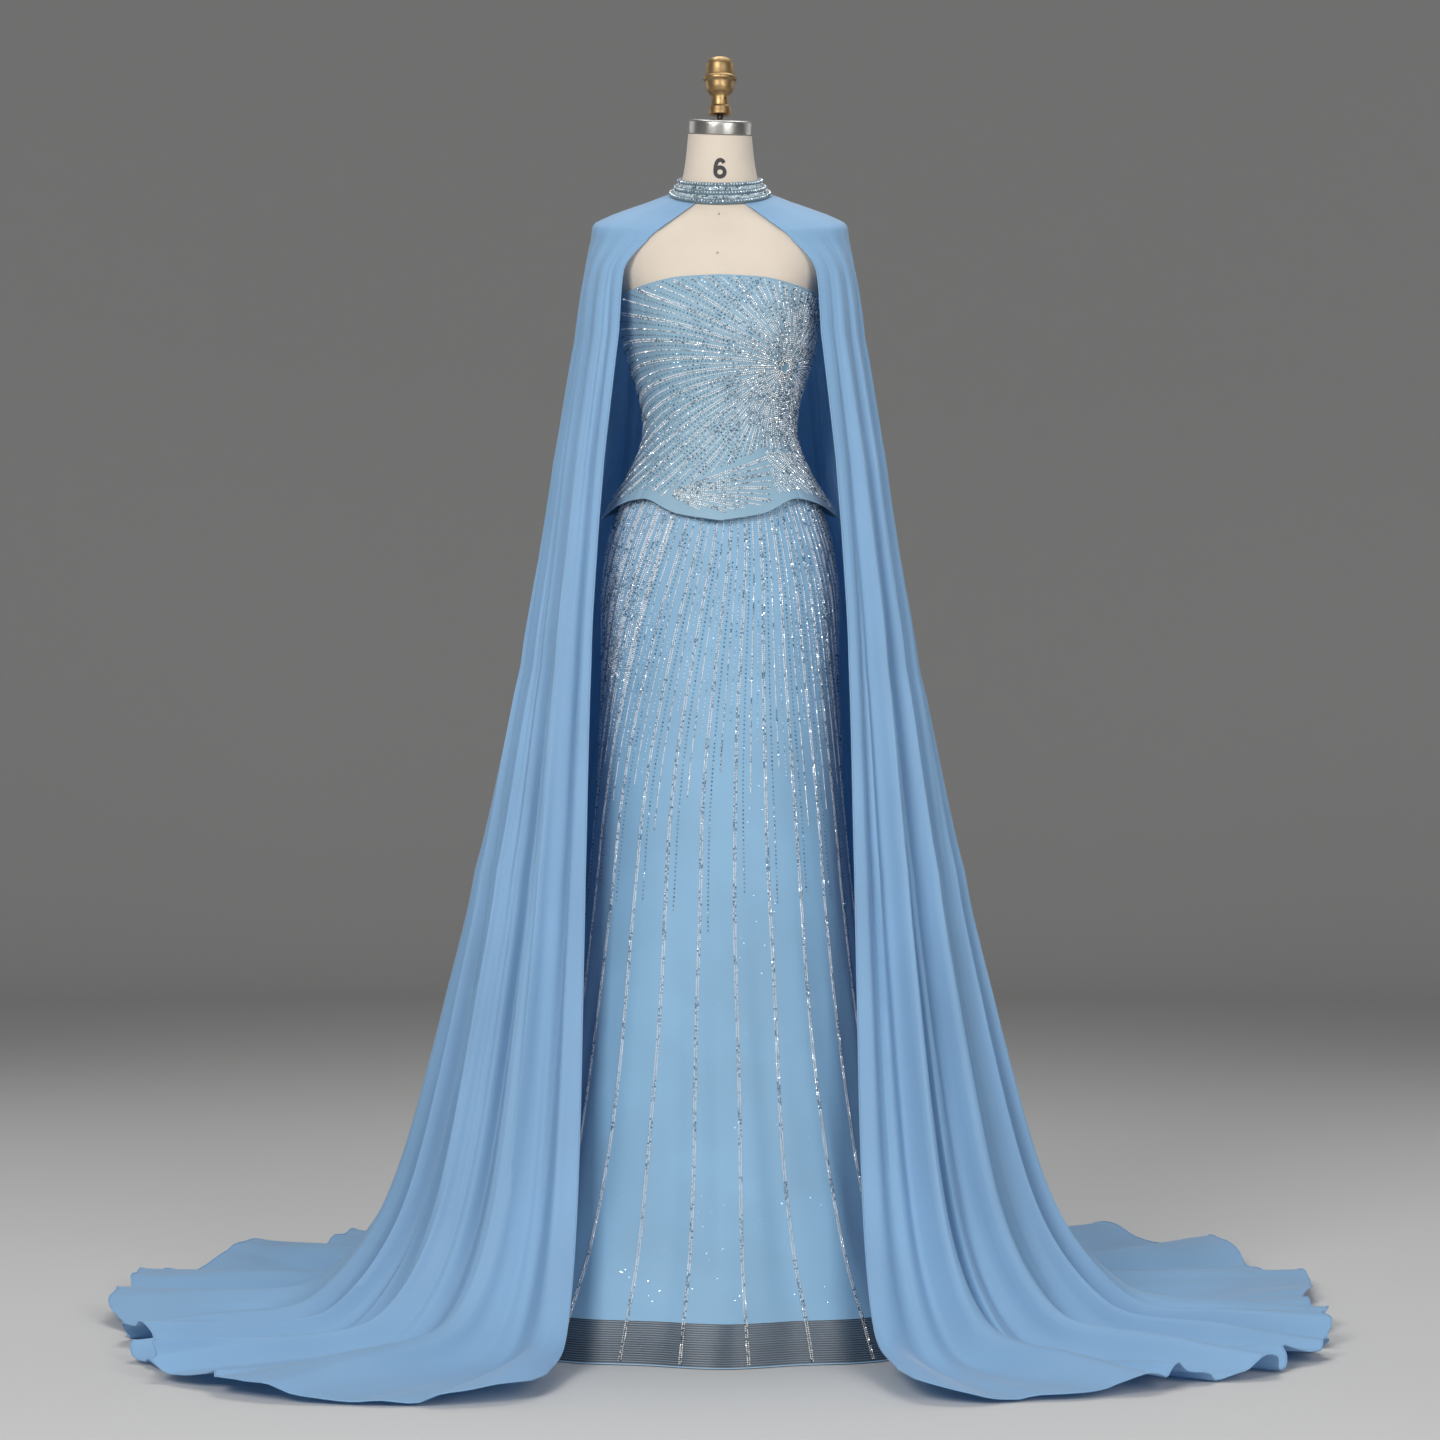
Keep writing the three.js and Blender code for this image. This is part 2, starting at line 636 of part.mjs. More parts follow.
function capeColumn(step, side) {
  const points = shoulderSections.map((section) => shoulderPoint(section, step, side));
  points.push(...hangingSections.map((section) => hangingPoint(section, step, side)));
  const foot = points[points.length - 1].clone().setZ(0);
  const hem = hemPoint(step, side);
  points.push(...floorSections.map(({ spread }) => foot.clone().lerp(hem, spread).setZ(floorLift)));
  return points;
}

// Moves each point of a grid along the grid's own normal. Columns run from front to back and down.
function pushGrid(grid, side, distanceAt) {
  const at = (i, j) => grid[THREE.MathUtils.clamp(i, 0, grid.length - 1)][THREE.MathUtils.clamp(j, 0, grid[0].length - 1)];
  return grid.map((column, i) =>
    column.map((point, j) => {
      const along = at(i + 1, j).clone().sub(at(i - 1, j)).multiplyScalar(side);
      const down = at(i, j + 1).clone().sub(at(i, j - 1));
      const normal = down.cross(along).normalize();
      return point.clone().addScaledVector(normal, distanceAt(i, j));
    }),
  );
}

function capeHalf(side) {
  const steps = spaced(0, capeFolds * stepsPerFold, capeFolds * stepsPerFold);
  const base = steps.map((step) => capeColumn(step, side));
  const sections = [...shoulderSections, ...hangingSections, ...floorSections];
  const firstOnFloor = shoulderSections.length + hangingSections.length;
  const folded = pushGrid(base, side, (i, j) => {
    const upright = j >= firstOnFloor ? 1 : 0;
    return sections[j].fold * (foldHeight(steps[i], side) + upright);
  });
  const inner = pushGrid(folded, side, () => -capeWall);
  for (const column of inner) {
    for (const point of column) point.z = Math.max(point.z, floorLift - capeWall);
  }
  for (const point of [...folded[steps.length - 1], ...inner[steps.length - 1]]) point.x = side * seamTrim;
  return { outer: folded, inner };
}

function cutHalf(half, from, to) {
  const copy = (grid) => grid.slice(from, to + 1).map((column) => column.map((point) => point.clone()));
  return clothWall(copy(half.outer), copy(half.inner));
}

function buildCape() {
  const last = capeFolds * stepsPerFold;
  for (const side of [-1, 1]) {
    const half = capeHalf(side);
    const word = side > 0 ? 'right' : 'left';
    addMesh(`cape_${word}_front`, cutHalf(half, 0, capeSideStep), 0xaebfd2);
    addMesh(`cape_${word}_back`, cutHalf(half, capeSideStep, last), 0xaebfd2);
  }
}

// Zip
function buildZipTape() {
  const shares = spaced(0, 1, zipRows);
  const turns = [Math.PI - zipHalfAngle, Math.PI, Math.PI + zipHalfAngle];
  const mirror = (angle) => (angle > Math.PI ? angle - 2 * Math.PI : angle);
  const column = (inward) => (angle) =>
    shares.map((share) => bodicePoint(mirror(angle), bodiceLevel(mirror(angle), share), inward));
  addMesh('zip_tape', clothWall(turns.map(column(0.2)), turns.map(column(0.2 + zipTapeWall))), 0xb8c6d2);
}

function sliderBackY() {
  const heights = spaced(sliderZ - sliderHeight / 2, sliderZ + sliderHeight / 2, 4);
  return Math.max(...heights.map((z) => bodicePoint(Math.PI, z, 0).y)) + 0.4;
}

function pullPivot() {
  return new THREE.Vector3(0, sliderBackY() + sliderThickness + 1.5, sliderZ + 1);
}

function buildZipSlider() {
  const low = sliderBackY();
  const body = new THREE.Shape();
  body.moveTo(-sliderWidth * 0.28, -sliderHeight / 2);
  body.lineTo(sliderWidth * 0.28, -sliderHeight / 2);
  body.lineTo(sliderWidth / 2, sliderHeight * 0.2);
  body.lineTo(sliderWidth * 0.36, sliderHeight / 2);
  body.lineTo(-sliderWidth * 0.36, sliderHeight / 2);
  body.lineTo(-sliderWidth / 2, sliderHeight * 0.2);
  body.closePath();
  const plate = new THREE.ExtrudeGeometry(body, { depth: sliderThickness, bevelEnabled: false });
  plate.rotateX(Math.PI / 2);
  plate.translate(0, low + sliderThickness, sliderZ);
  const arch = new THREE.Shape();
  arch.moveTo(-4.4, -1);
  arch.lineTo(4.4, -1);
  arch.lineTo(3.2, bridgeHeight - 0.8);
  arch.lineTo(2.2, bridgeHeight);
  arch.lineTo(-2.2, bridgeHeight);
  arch.lineTo(-3.2, bridgeHeight - 0.8);
  arch.closePath();
  const eye = new THREE.Path();
  eye.moveTo(-2, 0.2);
  eye.lineTo(-2, 2.6);
  eye.lineTo(-1.4, 3.1);
  eye.lineTo(1.4, 3.1);
  eye.lineTo(2, 2.6);
  eye.lineTo(2, 0.2);
  eye.closePath();
  arch.holes.push(eye);
  const bridge = new THREE.ExtrudeGeometry(arch, { depth: bridgeWidth, bevelEnabled: false });
  bridge.translate(0, 0, -bridgeWidth / 2);
  bridge.rotateY(Math.PI / 2);
  const pivot = pullPivot();
  bridge.translate(0, low + sliderThickness, pivot.z);
  addMesh('zip_slider', toGeometry(toSolid(plate).add(toSolid(bridge))), 0xb9bcc0);
}

function buildZipPull() {
  const pivot = pullPivot();
  const tab = new THREE.Shape();
  const half = pullWidth / 2;
  tab.moveTo(-half, pullBar / 2);
  tab.lineTo(-half, 4 - pullLength);
  tab.lineTo(-half + 2, -pullLength);
  tab.lineTo(half - 2, -pullLength);
  tab.lineTo(half, 4 - pullLength);
  tab.lineTo(half, pullBar / 2);
  tab.closePath();
  const eye = new THREE.Path();
  eye.moveTo(-1.5, -pullBar / 2);
  eye.lineTo(1.5, -pullBar / 2);
  eye.lineTo(1.5, -6.4);
  eye.lineTo(-1.5, -6.4);
  eye.closePath();
  tab.holes.push(eye);
  const geometry = new THREE.ExtrudeGeometry(tab, { depth: pullThickness, bevelEnabled: false });
  geometry.translate(0, 0, -pullThickness / 2);
  geometry.rotateX(Math.PI / 2);
  geometry.translate(0, pivot.y, pivot.z);
  addMesh('zip_pull', geometry, 0xb9bcc0);
}

buildForm();
buildNeckCap();
buildStem();
buildFinial();
buildStand();
buildBodice();
buildSkirt();
buildCollar();
buildCape();
buildZipTape();
buildZipSlider();
buildZipPull();

export default part;
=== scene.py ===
"""A pale blue beaded evening dress with a flared basque, horsehair hem, standing collar and long chiffon cape.

It is worn by a limbless linen dress form with a turned brass finial.
Sizes in the tables are millimetres on the dress form's own axes. Meshes are in metres, +Z up, front at -Y.
"""

import math

import bpy
import numpy as np
from bpy.props import FloatProperty, FloatVectorProperty, IntProperty, PointerProperty
from mathutils import Matrix


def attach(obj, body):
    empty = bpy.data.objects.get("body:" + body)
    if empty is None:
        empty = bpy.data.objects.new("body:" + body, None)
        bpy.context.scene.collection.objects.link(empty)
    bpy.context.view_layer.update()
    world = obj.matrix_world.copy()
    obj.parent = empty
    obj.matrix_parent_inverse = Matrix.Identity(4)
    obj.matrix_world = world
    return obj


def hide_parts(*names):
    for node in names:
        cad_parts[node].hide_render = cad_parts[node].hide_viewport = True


bl_info = {
    "name": "Beaded evening dress with cape",
    "version": (1, 0, 0),
    "blender": (4, 5, 0),
    "location": "View3D > Sidebar > Dress",
    "description": "Dresses the packed solids of an evening dress and its form with cloth, beads and trims",
    "category": "Object",
}

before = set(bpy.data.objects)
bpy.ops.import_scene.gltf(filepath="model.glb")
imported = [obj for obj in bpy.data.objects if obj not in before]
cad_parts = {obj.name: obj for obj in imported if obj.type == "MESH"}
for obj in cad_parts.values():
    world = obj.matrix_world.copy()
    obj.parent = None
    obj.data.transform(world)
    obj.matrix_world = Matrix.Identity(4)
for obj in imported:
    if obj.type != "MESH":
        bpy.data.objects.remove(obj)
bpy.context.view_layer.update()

MM = 0.001
DEG = math.pi / 180


def table(names, *rows):
    """A short table as one array for each named column."""
    columns = zip(*rows)
    return {name: np.array(column, float) for name, column in zip(names.split(), columns)}


# Dress form by level, which is the height of a section at its side
FORM = table(
    "level half front back drop rise",
    (1000, 150, 112, 138, 0, 0),
    (1100, 167, 124, 152, 0, 0),
    (1200, 150, 117, 135, 0, 0),
    (1240, 138, 112, 124, 0, 0),
    (1270, 128.5, 109, 116, 0, 0),
    (1304, 115.5, 105, 108, 0, 0),
    (1335, 109.5, 103, 103, 0, 0),
    (1368, 112.2, 106, 103, 0, 0),
    (1400, 120.2, 112, 105, 0, 0),
    (1436, 132, 120, 109, 0, 0),
    (1470, 140, 126, 113, 0, 0),
    (1504, 144, 126, 116, 0, 0),
    (1540, 150, 118, 118, 0, 0),
    (1570, 167, 107, 118, 5, 3),
    (1598, 181, 98, 116, 12, 8),
    (1622, 187, 90, 112, 19, 15),
    (1640, 184.5, 84, 107, 24, 21),
    (1652, 159, 79, 100, 27, 27),
    (1668, 111, 73, 86, 29, 30),
    (1683, 73, 68, 70, 24, 24),
    (1695, 62.5, 60, 61, 19, 20),
    (1709, 56, 54.5, 55, 15.5, 15.5),
    (1740, 50.5, 50, 50, 11.5, 11.5),
    (1775, 47, 47, 47, 9.2, 9.2),
)
BUST_ANGLE, BUST_LEVEL, BUST_DEPTH = 33 * DEG, 1466, 15
CAP_ROLL, CAP_LEAN, CAP_BOTTOM = 2 * DEG, 11 * DEG, 1775.4

# How far the bodice and basque stand out from the dress form
STAND = table(
    "level side front back",
    (1180, 31, 17, 19),
    (1210, 24, 13.5, 15),
    (1240, 16.5, 10.5, 12.5),
    (1270, 8, 8, 9),
    (1304, 5.2, 5.2, 5.2),
    (1332, 3.5, 3.5, 3.5),
    (1350, 3.3, 3.3, 3.3),
    (1450, 3.3, 4, 3.3),
    (1500, 3.3, 4, 3.3),
    (1600, 3.3, 3.3, 3.3),
)
EDGES = table(
    "angle top hem",
    (0, 1552, 1195),
    (22, 1549, 1206),
    (45, 1540, 1230),
    (68, 1532, 1221),
    (92, 1522, 1208),
    (125, 1502, 1226),
    (155, 1492, 1214),
    (180, 1490, 1198),
)
PRINCESS, SIDE_SEAM, ZIP_HALF = 47 * DEG, 92 * DEG, 1.5 * DEG
BASQUE_WAVES, BASQUE_WAVE = 7, 3.2

# Skirt sections. The wave is the depth of its soft upright flares.
SKIRT = table(
    "z half front back wave",
    (0, 362, 270, 335, 8),
    (60.5, 334, 254, 310, 6.5),
    (150, 291, 226, 271, 5),
    (300, 249, 195, 226, 3),
    (500, 214.5, 170, 191, 1.6),
    (700, 190.5, 153, 170, 0.8),
    (880, 177.5, 140, 162, 0.3),
    (1000, 174.5, 133, 160, 0),
    (1087, 175, 131, 159, 0),
    (1150, 169, 127, 153, 0),
    (1200, 157.5, 121.5, 141, 0),
    (1250, 140, 115, 126, 0),
    (1300, 119.7, 108.2, 111.8, 0),
)
SKIRT_FLARES, SKIRT_SIDE = 9, 88 * DEG

# Collar rows by level and by distance from the neck
COLLAR = table(
    "level out",
    (1683.4, 0.8),
    (1683.4, 4.4),
    (1684.2, 5.2),
    (1687.0, 5.4),
    (1687.8, 4.6),
    (1688.2, 3.4),
    (1692.2, 3.4),
    (1692.8, 4.6),
    (1693.4, 5.4),
    (1697.2, 5.4),
    (1698.0, 4.6),
    (1698.5, 3.4),
    (1703, 3.4),
    (1703.5, 4.4),
    (1704.2, 5.2),
    (1708.0, 5),
    (1708.8, 4.2),
    (1708.8, 0.8),
)

# Cape: sections over the shoulders, sections that hang, and the share of the way to the hem on the floor
SHOULDER = table(
    "level clear open fold",
    (1683, 1.2, 37, 0),
    (1668, 2, 62, 0),
    (1652, 2, 81, 0.1),
    (1640, 2, 94, 0.3),
    (1622, 2.2, 108, 0.7),
)
HANGING = table(
    "z half front back open fold",
    (1560, 202, 118, 136, 141, 1.8),
    (1480, 213, 138, 166, 147, 3.5),
    (1280, 240.5, 160, 212, 168, 8),
    (1150, 258.5, 172, 240, 178, 10.5),
    (1000, 283.5, 179, 276, 186, 13),
    (670, 347, 192, 364, 193, 18),
    (500, 387, 204, 416, 196, 21),
    (350, 425, 227, 485, 198, 23),
    (220, 460, 265, 565, 200, 24),
    (120, 507, 304, 645, 205, 22),
    (48, 575, 330, 715, 210, 17),
)
FLOOR = table("spread fold", (0.16, 13), (0.55, 11), (1, 8))
HEM = table(
    "angle left right",
    (20, 600, 640),
    (35, 674, 645),
    (45, 748, 695),
    (55, 806, 736),
    (65, 848, 815),
    (78, 842, 875),
    (90, 884, 890),
    (102, 946, 938),
    (115, 1016, 1030),
    (127, 1062, 1090),
    (140, 1090, 1160),
    (152, 1118, 1168),
    (166, 1146, 1146),
    (180, 1150, 1150),
)
CAPE_FOLDS, FOLD_STEPS, CAPE_SIDE_STEP, HEM_WAVE, CAPE_WALL = 11, 4, 20, 15, 1.4
FOLD_LAST = CAPE_FOLDS * FOLD_STEPS
# Mesh rows to each section over the shoulders, where the cape hangs and where it lies
SHOULDER_ROWS, HANGING_ROWS, FLOOR_ROWS = 4, 6, 9
CREASE_STRENGTH, FOLD_PASSES, HEM_PASSES = 1.35, 40, 3
# The fold steps over which the front corner of the hem is rounded, and the share of the length that it loses
CORNER_STEPS, CORNER_CUT = 2.6, 0.075
# Places along each hem where the chiffon turns up: fold step, height, width and the side that it tips to
CURLS = table(
    "side step high wide tip",
    (-1, 6.0, 20, 0.7, 1),
    (-1, 9.2, 36, 0.8, 1),
    (-1, 15.0, 20, 0.8, -1),
    (-1, 21.4, 18, 0.8, 1),
    (-1, 27.3, 20, 0.9, -1),
    (-1, 34.2, 18, 0.9, 1),
    (1, 5.6, 20, 0.7, -1),
    (1, 11.0, 34, 0.8, -1),
    (1, 16.8, 20, 0.8, 1),
    (1, 22.9, 20, 0.8, -1),
    (1, 29.1, 20, 0.9, 1),
    (1, 36.2, 16, 0.9, -1),
)
# Sharp creases that run down the cape: fold step, depth, width and the share of the length where each begins
CREASES = table(
    "side step deep wide start",
    (-1, 2.3, 3, 0.4, 0.10),
    (-1, 3.9, 9, 0.32, 0.34),
    (-1, 5.7, 12, 0.32, 0.26),
    (-1, 9.2, 6, 0.5, 0.12),
    (-1, 12.6, 20, 0.45, 0.42),
    (-1, 15.1, 11, 0.35, 0.30),
    (-1, 18.4, 8, 0.4, 0.20),
    (-1, 23.4, 12, 0.4, 0.28),
    (-1, 27.8, 16, 0.45, 0.35),
    (-1, 32.9, 10, 0.4, 0.25),
    (-1, 38.1, 13, 0.4, 0.32),
    (1, 2.2, 8, 0.35, 0.22),
    (1, 5.4, 12, 0.32, 0.30),
    (1, 7.9, 6, 0.3, 0.36),
    (1, 10.1, 11, 0.32, 0.16),
    (1, 12.2, 17, 0.4, 0.33),
    (1, 15.6, 9, 0.4, 0.24),
    (1, 19.2, 8, 0.4, 0.20),
    (1, 24.6, 13, 0.4, 0.30),
    (1, 29.6, 10, 0.4, 0.26),
    (1, 34.2, 15, 0.45, 0.36),
    (1, 39.4, 9, 0.4, 0.24),
)
# How far the skirt's bead rows have fanned out from their hub at each height
FAN = table(
    "z share",
    (600, 1),
    (740, 0.985),
    (830, 0.94),
    (910, 0.86),
    (990, 0.76),
    (1070, 0.65),
    (1150, 0.54),
    (1240, 0.45),
)
FAN_HUB, SKIRT_RAYS, SKIRT_RAY_TOP = 20 * DEG, 96, 1236
# Bead rows on the bodice are laid out on a cylinder of this radius, unrolled
ROUND, SUN_RAYS, HEM_MARGIN, ROW_STEP = 125.0, 88, 11, 5.0
LEAF_POINT, SWEEP_POINT, SUN_POINT = (-62.0, 1236.0), (34.0, 1334.0), (100.0, 1420.0)
BEAD_LIFT, PAIR_SHIFT = 0.8, 1.5

SEAM_WIDTH = 1.6
DIGIT_LEVEL, DIGIT_RADIUS, DIGIT_STROKE = 1729, 53.5, 2.8

# Camera, lamps (name, place, size, power, colour) and round floor, in metres
LENS, SENSOR, LENS_SHIFT, CAMERA_PLACE = 81.1, 36, 0.0278, (0, -4.8, 0.85)
LAMP_AIM, WHITE = (0, 0, 0.95), (1.0, 1.0, 1.0)
LAMPS = (
    ("key", (-1.9, -4.3, 2.9), 1.7, 150, (1.0, 0.985, 0.96)),
    ("fill", (2.1, -4.2, 2.0), 1.9, 84, (1.0, 0.99, 0.98)),
    ("top", (0.2, 0.6, 4.2), 2.6, 66, WHITE),
    ("rim_left", (-3.2, 2.2, 2.4), 2.6, 16, WHITE),
    ("rim_right", (3.2, 2.2, 2.4), 2.6, 16, WHITE),
)
FLOOR_RADIUS, FLOOR_BEND, FLOOR_TOP, FLOOR_DROP = 7.0, 2.6, 5.0, 0.0004


# Numbers and surfaces


def smooth_column(x, y, at):
    """Values through the points x, y without overshoot. y may hold a row of numbers for each x."""
    step = np.diff(x).reshape((-1,) + (1,) * (y.ndim - 1))
    slope = np.diff(y, axis=0) / step
    both = slope[:-1] * slope[1:]
    total = slope[:-1] + slope[1:]
    middle = np.where(both > 0, 2 * both / np.where(np.abs(total) < 1e-12, 1, total), 0)
    tangent = np.concatenate([slope[:1], middle, slope[-1:]])
    at = np.clip(at, x[0], x[-1])
    i = np.clip(np.searchsorted(x, at, side="right") - 1, 0, len(x) - 2)
    shape = at.shape + (1,) * (y.ndim - 1)
    run = (x[i + 1] - x[i]).reshape(shape)
    s = (at - x[i]).reshape(shape) / run
    start = y[i] * (1 + 2 * s) * (1 - s) ** 2 + y[i + 1] * (3 - 2 * s) * s**2
    return start + run * (tangent[i] * s * (1 - s) ** 2 - tangent[i + 1] * (1 - s) * s**2)


def column(rows, key, name, at):
    """One column of a table, read smoothly at values of its key column."""
    order = np.argsort(rows[key])
    return smooth_column(rows[key][order], rows[name][order], np.asarray(at, float))


def ramp(value, low, high):
    """0 below low, 1 above high and smooth between."""
    share = np.clip((np.asarray(value, float) - low) / (high - low), 0, 1)
    return share * share * (3 - 2 * share)


def xyz(x, y, z):
    """Stacks three arrays as points."""
    return np.stack(np.broadcast_arrays(x, y, z), axis=-1)


def unit(vectors):
    """Vectors of length one."""
    return vectors / np.maximum(np.linalg.norm(vectors, axis=-1, keepdims=True), 1e-12)


def form_point(angle, level):
    """The dress form's surface, in millimetres. Angle 0 is the centre front."""
    c, s = np.cos(angle), np.sin(angle)
    front = c > 0
    depth = np.where(front, column(FORM, "level", "front", level), column(FORM, "level", "back", level))
    lean = np.where(front, column(FORM, "level", "drop", level), column(FORM, "level", "rise", level))
    across = (np.abs(angle) - BUST_ANGLE) / (19 * DEG)
    along = (level - BUST_LEVEL) / np.where(level > BUST_LEVEL, 52, 44)
    swell = BUST_DEPTH * np.exp(-(across**2) - along**2)
    x = column(FORM, "level", "half", level) * s + swell * s * 0.5
    y = -depth * c - swell * c
    z = level - lean * c - x * math.tan(CAP_ROLL) * ramp(level, 1709, 1775)
    return xyz(x, y, z)


def normal_of(surface, angle, height):
    """Outward normals of a surface given by angle and height."""
    along_angle = surface(angle + 0.004, height) - surface(angle - 0.004, height)
    along_height = surface(angle, height + 0.8) - surface(angle, height - 0.8)
    return unit(np.cross(along_angle, along_height))


def off_form(angle, level, distance):
    """Points at a distance from the dress form."""
    shift = np.asarray(distance, float)[..., None]
    return form_point(angle, level) + normal_of(form_point, angle, level) * shift


def outward(angle):
    """Level directions away from the axis."""
    return xyz(np.sin(angle), -np.cos(angle), np.zeros_like(angle))


def bodice_point(angle, level):
    """The bodice and basque's outer surface."""
    c = np.cos(angle)
    middle = np.where(c > 0, column(STAND, "level", "front", level), column(STAND, "level", "back", level))
    blend = np.sin(angle) ** 2
    wave = BASQUE_WAVE * (1 - ramp(level, 1195, 1285)) * (1 + np.cos(BASQUE_WAVES * angle))
    stand = column(STAND, "level", "side", level) * blend + middle * (1 - blend) + wave
    return form_point(angle, level) + outward(angle) * stand[..., None]


def bodice_edge(angle, name):
    """The level of the bodice's top edge or of the basque's hem."""
    return column(EDGES, "angle", name, np.abs(angle) / DEG)


def skirt_point(angle, z):
    """The skirt's outer surface."""
    c, s = np.cos(angle), np.sin(angle)
    depth = np.where(c > 0, column(SKIRT, "z", "front", z), column(SKIRT, "z", "back", z))
    wave = column(SKIRT, "z", "wave", z) * np.cos(SKIRT_FLARES * angle + 0.5 * np.sin(2 * angle))
    return xyz((column(SKIRT, "z", "half", z) + wave) * s, -(depth + wave) * c, z)


def skirt_cloth(angle, z):
    """The skirt's surface with the soft uneven folds of its tulle."""
    low = ramp(820 - z, 0, 560)
    soft = 2.6 * np.sin(5 * angle + 0.8 * np.sin(3 * angle)) + 1.8 * np.sin(13 * angle + 0.0021 * z)
    fine = 1.0 * np.sin(29 * angle + 0.004 * z + 1.3 * np.sin(4 * angle))
    return skirt_point(angle, z) + outward(angle) * (low * (soft + fine) * ramp(z, -40, 160))[..., None]


def panel_grid(start, stop, steps, heights):
    """Angles and heights of a skirt panel, just clear of its seams."""
    return np.meshgrid(np.linspace(start + 0.0005, stop - 0.0005, steps), heights, indexing="ij")


def seam_dip(angle, start, stop, radius):
    """How far a panel dips in beside its two seams, in millimetres."""
    near = np.minimum(angle - start, stop - angle) * radius
    return np.exp(-((near / SEAM_WIDTH) ** 2))[..., None]


# Meshes


def new_object(name, data):
    """An object at the origin, linked to the scene."""
    obj = bpy.data.objects.new(name, data)
    bpy.context.scene.collection.objects.link(obj)
    return obj


def quads(index):
    """The corners of every square in a grid of point numbers."""
    corners = index[:-1, :-1], index[1:, :-1], index[1:, 1:], index[:-1, 1:]
    return np.stack(corners, axis=-1).reshape(-1, 4)


def turned_over(faces):
    """The same squares, facing the other way."""
    return faces[:, [0, 3, 2, 1]]


def numbered(grid):
    """Numbers for the points of a grid."""
    return np.arange(grid[..., 0].size).reshape(grid.shape[:2])


def body(name, points, faces, uv=None, sharp=45):
    """A smooth body from points in millimetres. Edges beyond the sharp angle stay sharp."""
    mesh = bpy.data.meshes.new(name)
    mesh.from_pydata((points.reshape(-1, 3) * MM).tolist(), [], faces)
    mesh.update()
    if uv is not None:
        layer = mesh.uv_layers.new(name="cloth")
        corners = np.empty(len(mesh.loops), np.int32)
        mesh.loops.foreach_get("vertex_index", corners)
        layer.data.foreach_set("uv", uv[corners].ravel())
    mesh.polygons.foreach_set("use_smooth", np.ones(len(mesh.polygons), bool))
    if sharp is not None:
        mesh.set_sharp_from_angle(angle=sharp * DEG)
    return new_object(name, mesh)


def grid_uv(grid):
    """Distances across and along a grid, in metres, for patterns that follow the cloth."""
    across = np.linalg.norm(np.diff(grid, axis=0), axis=-1).mean(axis=1)
    along = np.linalg.norm(np.diff(grid, axis=1), axis=-1).mean(axis=0)
    u = np.concatenate([[0], np.cumsum(across)])
    v = np.concatenate([[0], np.cumsum(along)])
    return np.stack(np.meshgrid(u, v, indexing="ij"), axis=-1) * MM


def grid_normals(grid, closed=False):
    """Normals of a grid of points, by differences."""
    if closed:
        across = np.roll(grid, -1, axis=0) - np.roll(grid, 1, axis=0)
    else:
        across = np.gradient(grid, axis=0)
    return unit(np.cross(across, np.gradient(grid, axis=1)))


def shell(name, outer, wall, closed=False, flip=False, floor=None):
    """A thin cloth shell with rims: the outer grid, and an inner one a wall's thickness inside it."""
    normals = grid_normals(outer, closed) * (-1 if flip else 1)
    inner = outer - normals * wall
    if floor is not None:
        inner[..., 2] = np.maximum(inner[..., 2], floor)
    index = numbered(outer)
    count = index.size
    ring = np.concatenate([index, index[:1]]) if closed else index

    def rim(line):
        return quads(np.stack([line, line + count], axis=-1))

    faces = [quads(ring), turned_over(quads(ring)) + count, turned_over(rim(ring[:, 0])), rim(ring[:, -1])]
    if not closed:
        faces += [rim(index[0]), turned_over(rim(index[-1]))]
    faces = np.concatenate(faces)
    if flip:
        faces = faces[:, ::-1]
    uv = grid_uv(outer).reshape(-1, 2)
    return body(name, np.stack([outer, inner]), faces.tolist(), np.concatenate([uv, uv]))


def around_axis(name, grid, sharp):
    """A body from a grid that runs around an axis, closed at both ends by a fan of faces."""
    index = numbered(grid)
    ring = np.concatenate([index, index[:1]])
    faces, low, high = quads(ring).tolist(), index.size, index.size + 1
    for here, after in zip(ring[:-1], ring[1:]):
        faces += [[low, after[0], here[0]], [high, here[-1], after[-1]]]
    ends = grid[:, [0, -1]].mean(axis=0)
    return body(name, np.concatenate([grid.reshape(-1, 3), ends]), faces, sharp=sharp)


def turned(name, profile, segments):
    """A turned body from pairs of radius and height, closed on its axis."""
    turns = np.linspace(0, 2 * math.pi, segments, endpoint=False)[:, None]
    radius, height = np.array(profile, float).T
    return around_axis(name, xyz(radius * np.cos(turns), radius * np.sin(turns), height), 40)


def rounded(corners, radius, steps=4):
    """A profile with its inner corners rounded by short arcs."""
    corners = np.array(corners, float)
    path = [corners[0]]
    for before, here, after in zip(corners[:-2], corners[1:-1], corners[2:]):
        back, ahead = before - here, after - here
        reach = min(radius, np.linalg.norm(back) * 0.45, np.linalg.norm(ahead) * 0.45)
        first, last = here + unit(back) * reach, here + unit(ahead) * reach
        for t in np.linspace(0, 1, steps):
            path.append(first * (1 - t) ** 2 + here * 2 * t * (1 - t) + last * t**2)
    path.append(corners[-1])
    return np.array(path)


def tube(name, path, radius, sides=6):
    """A thin closed tube along a path of points."""
    along = unit(np.gradient(path, axis=0))
    guide = np.array([0.31, 0.27, 0.91])
    first = unit(np.cross(along, guide))[:, None]
    second = np.cross(along, first[:, 0])[:, None]
    turns = np.linspace(0, 2 * math.pi, sides, endpoint=False)[:, None]
    points = path[:, None] + (first * np.cos(turns) + second * np.sin(turns)) * radius
    index = numbered(points)
    faces = turned_over(quads(np.concatenate([index, index[:, :1]], axis=1))).tolist()
    faces += [index[0, ::-1].tolist(), index[-1].tolist()]
    return body(name, points, faces, sharp=None)


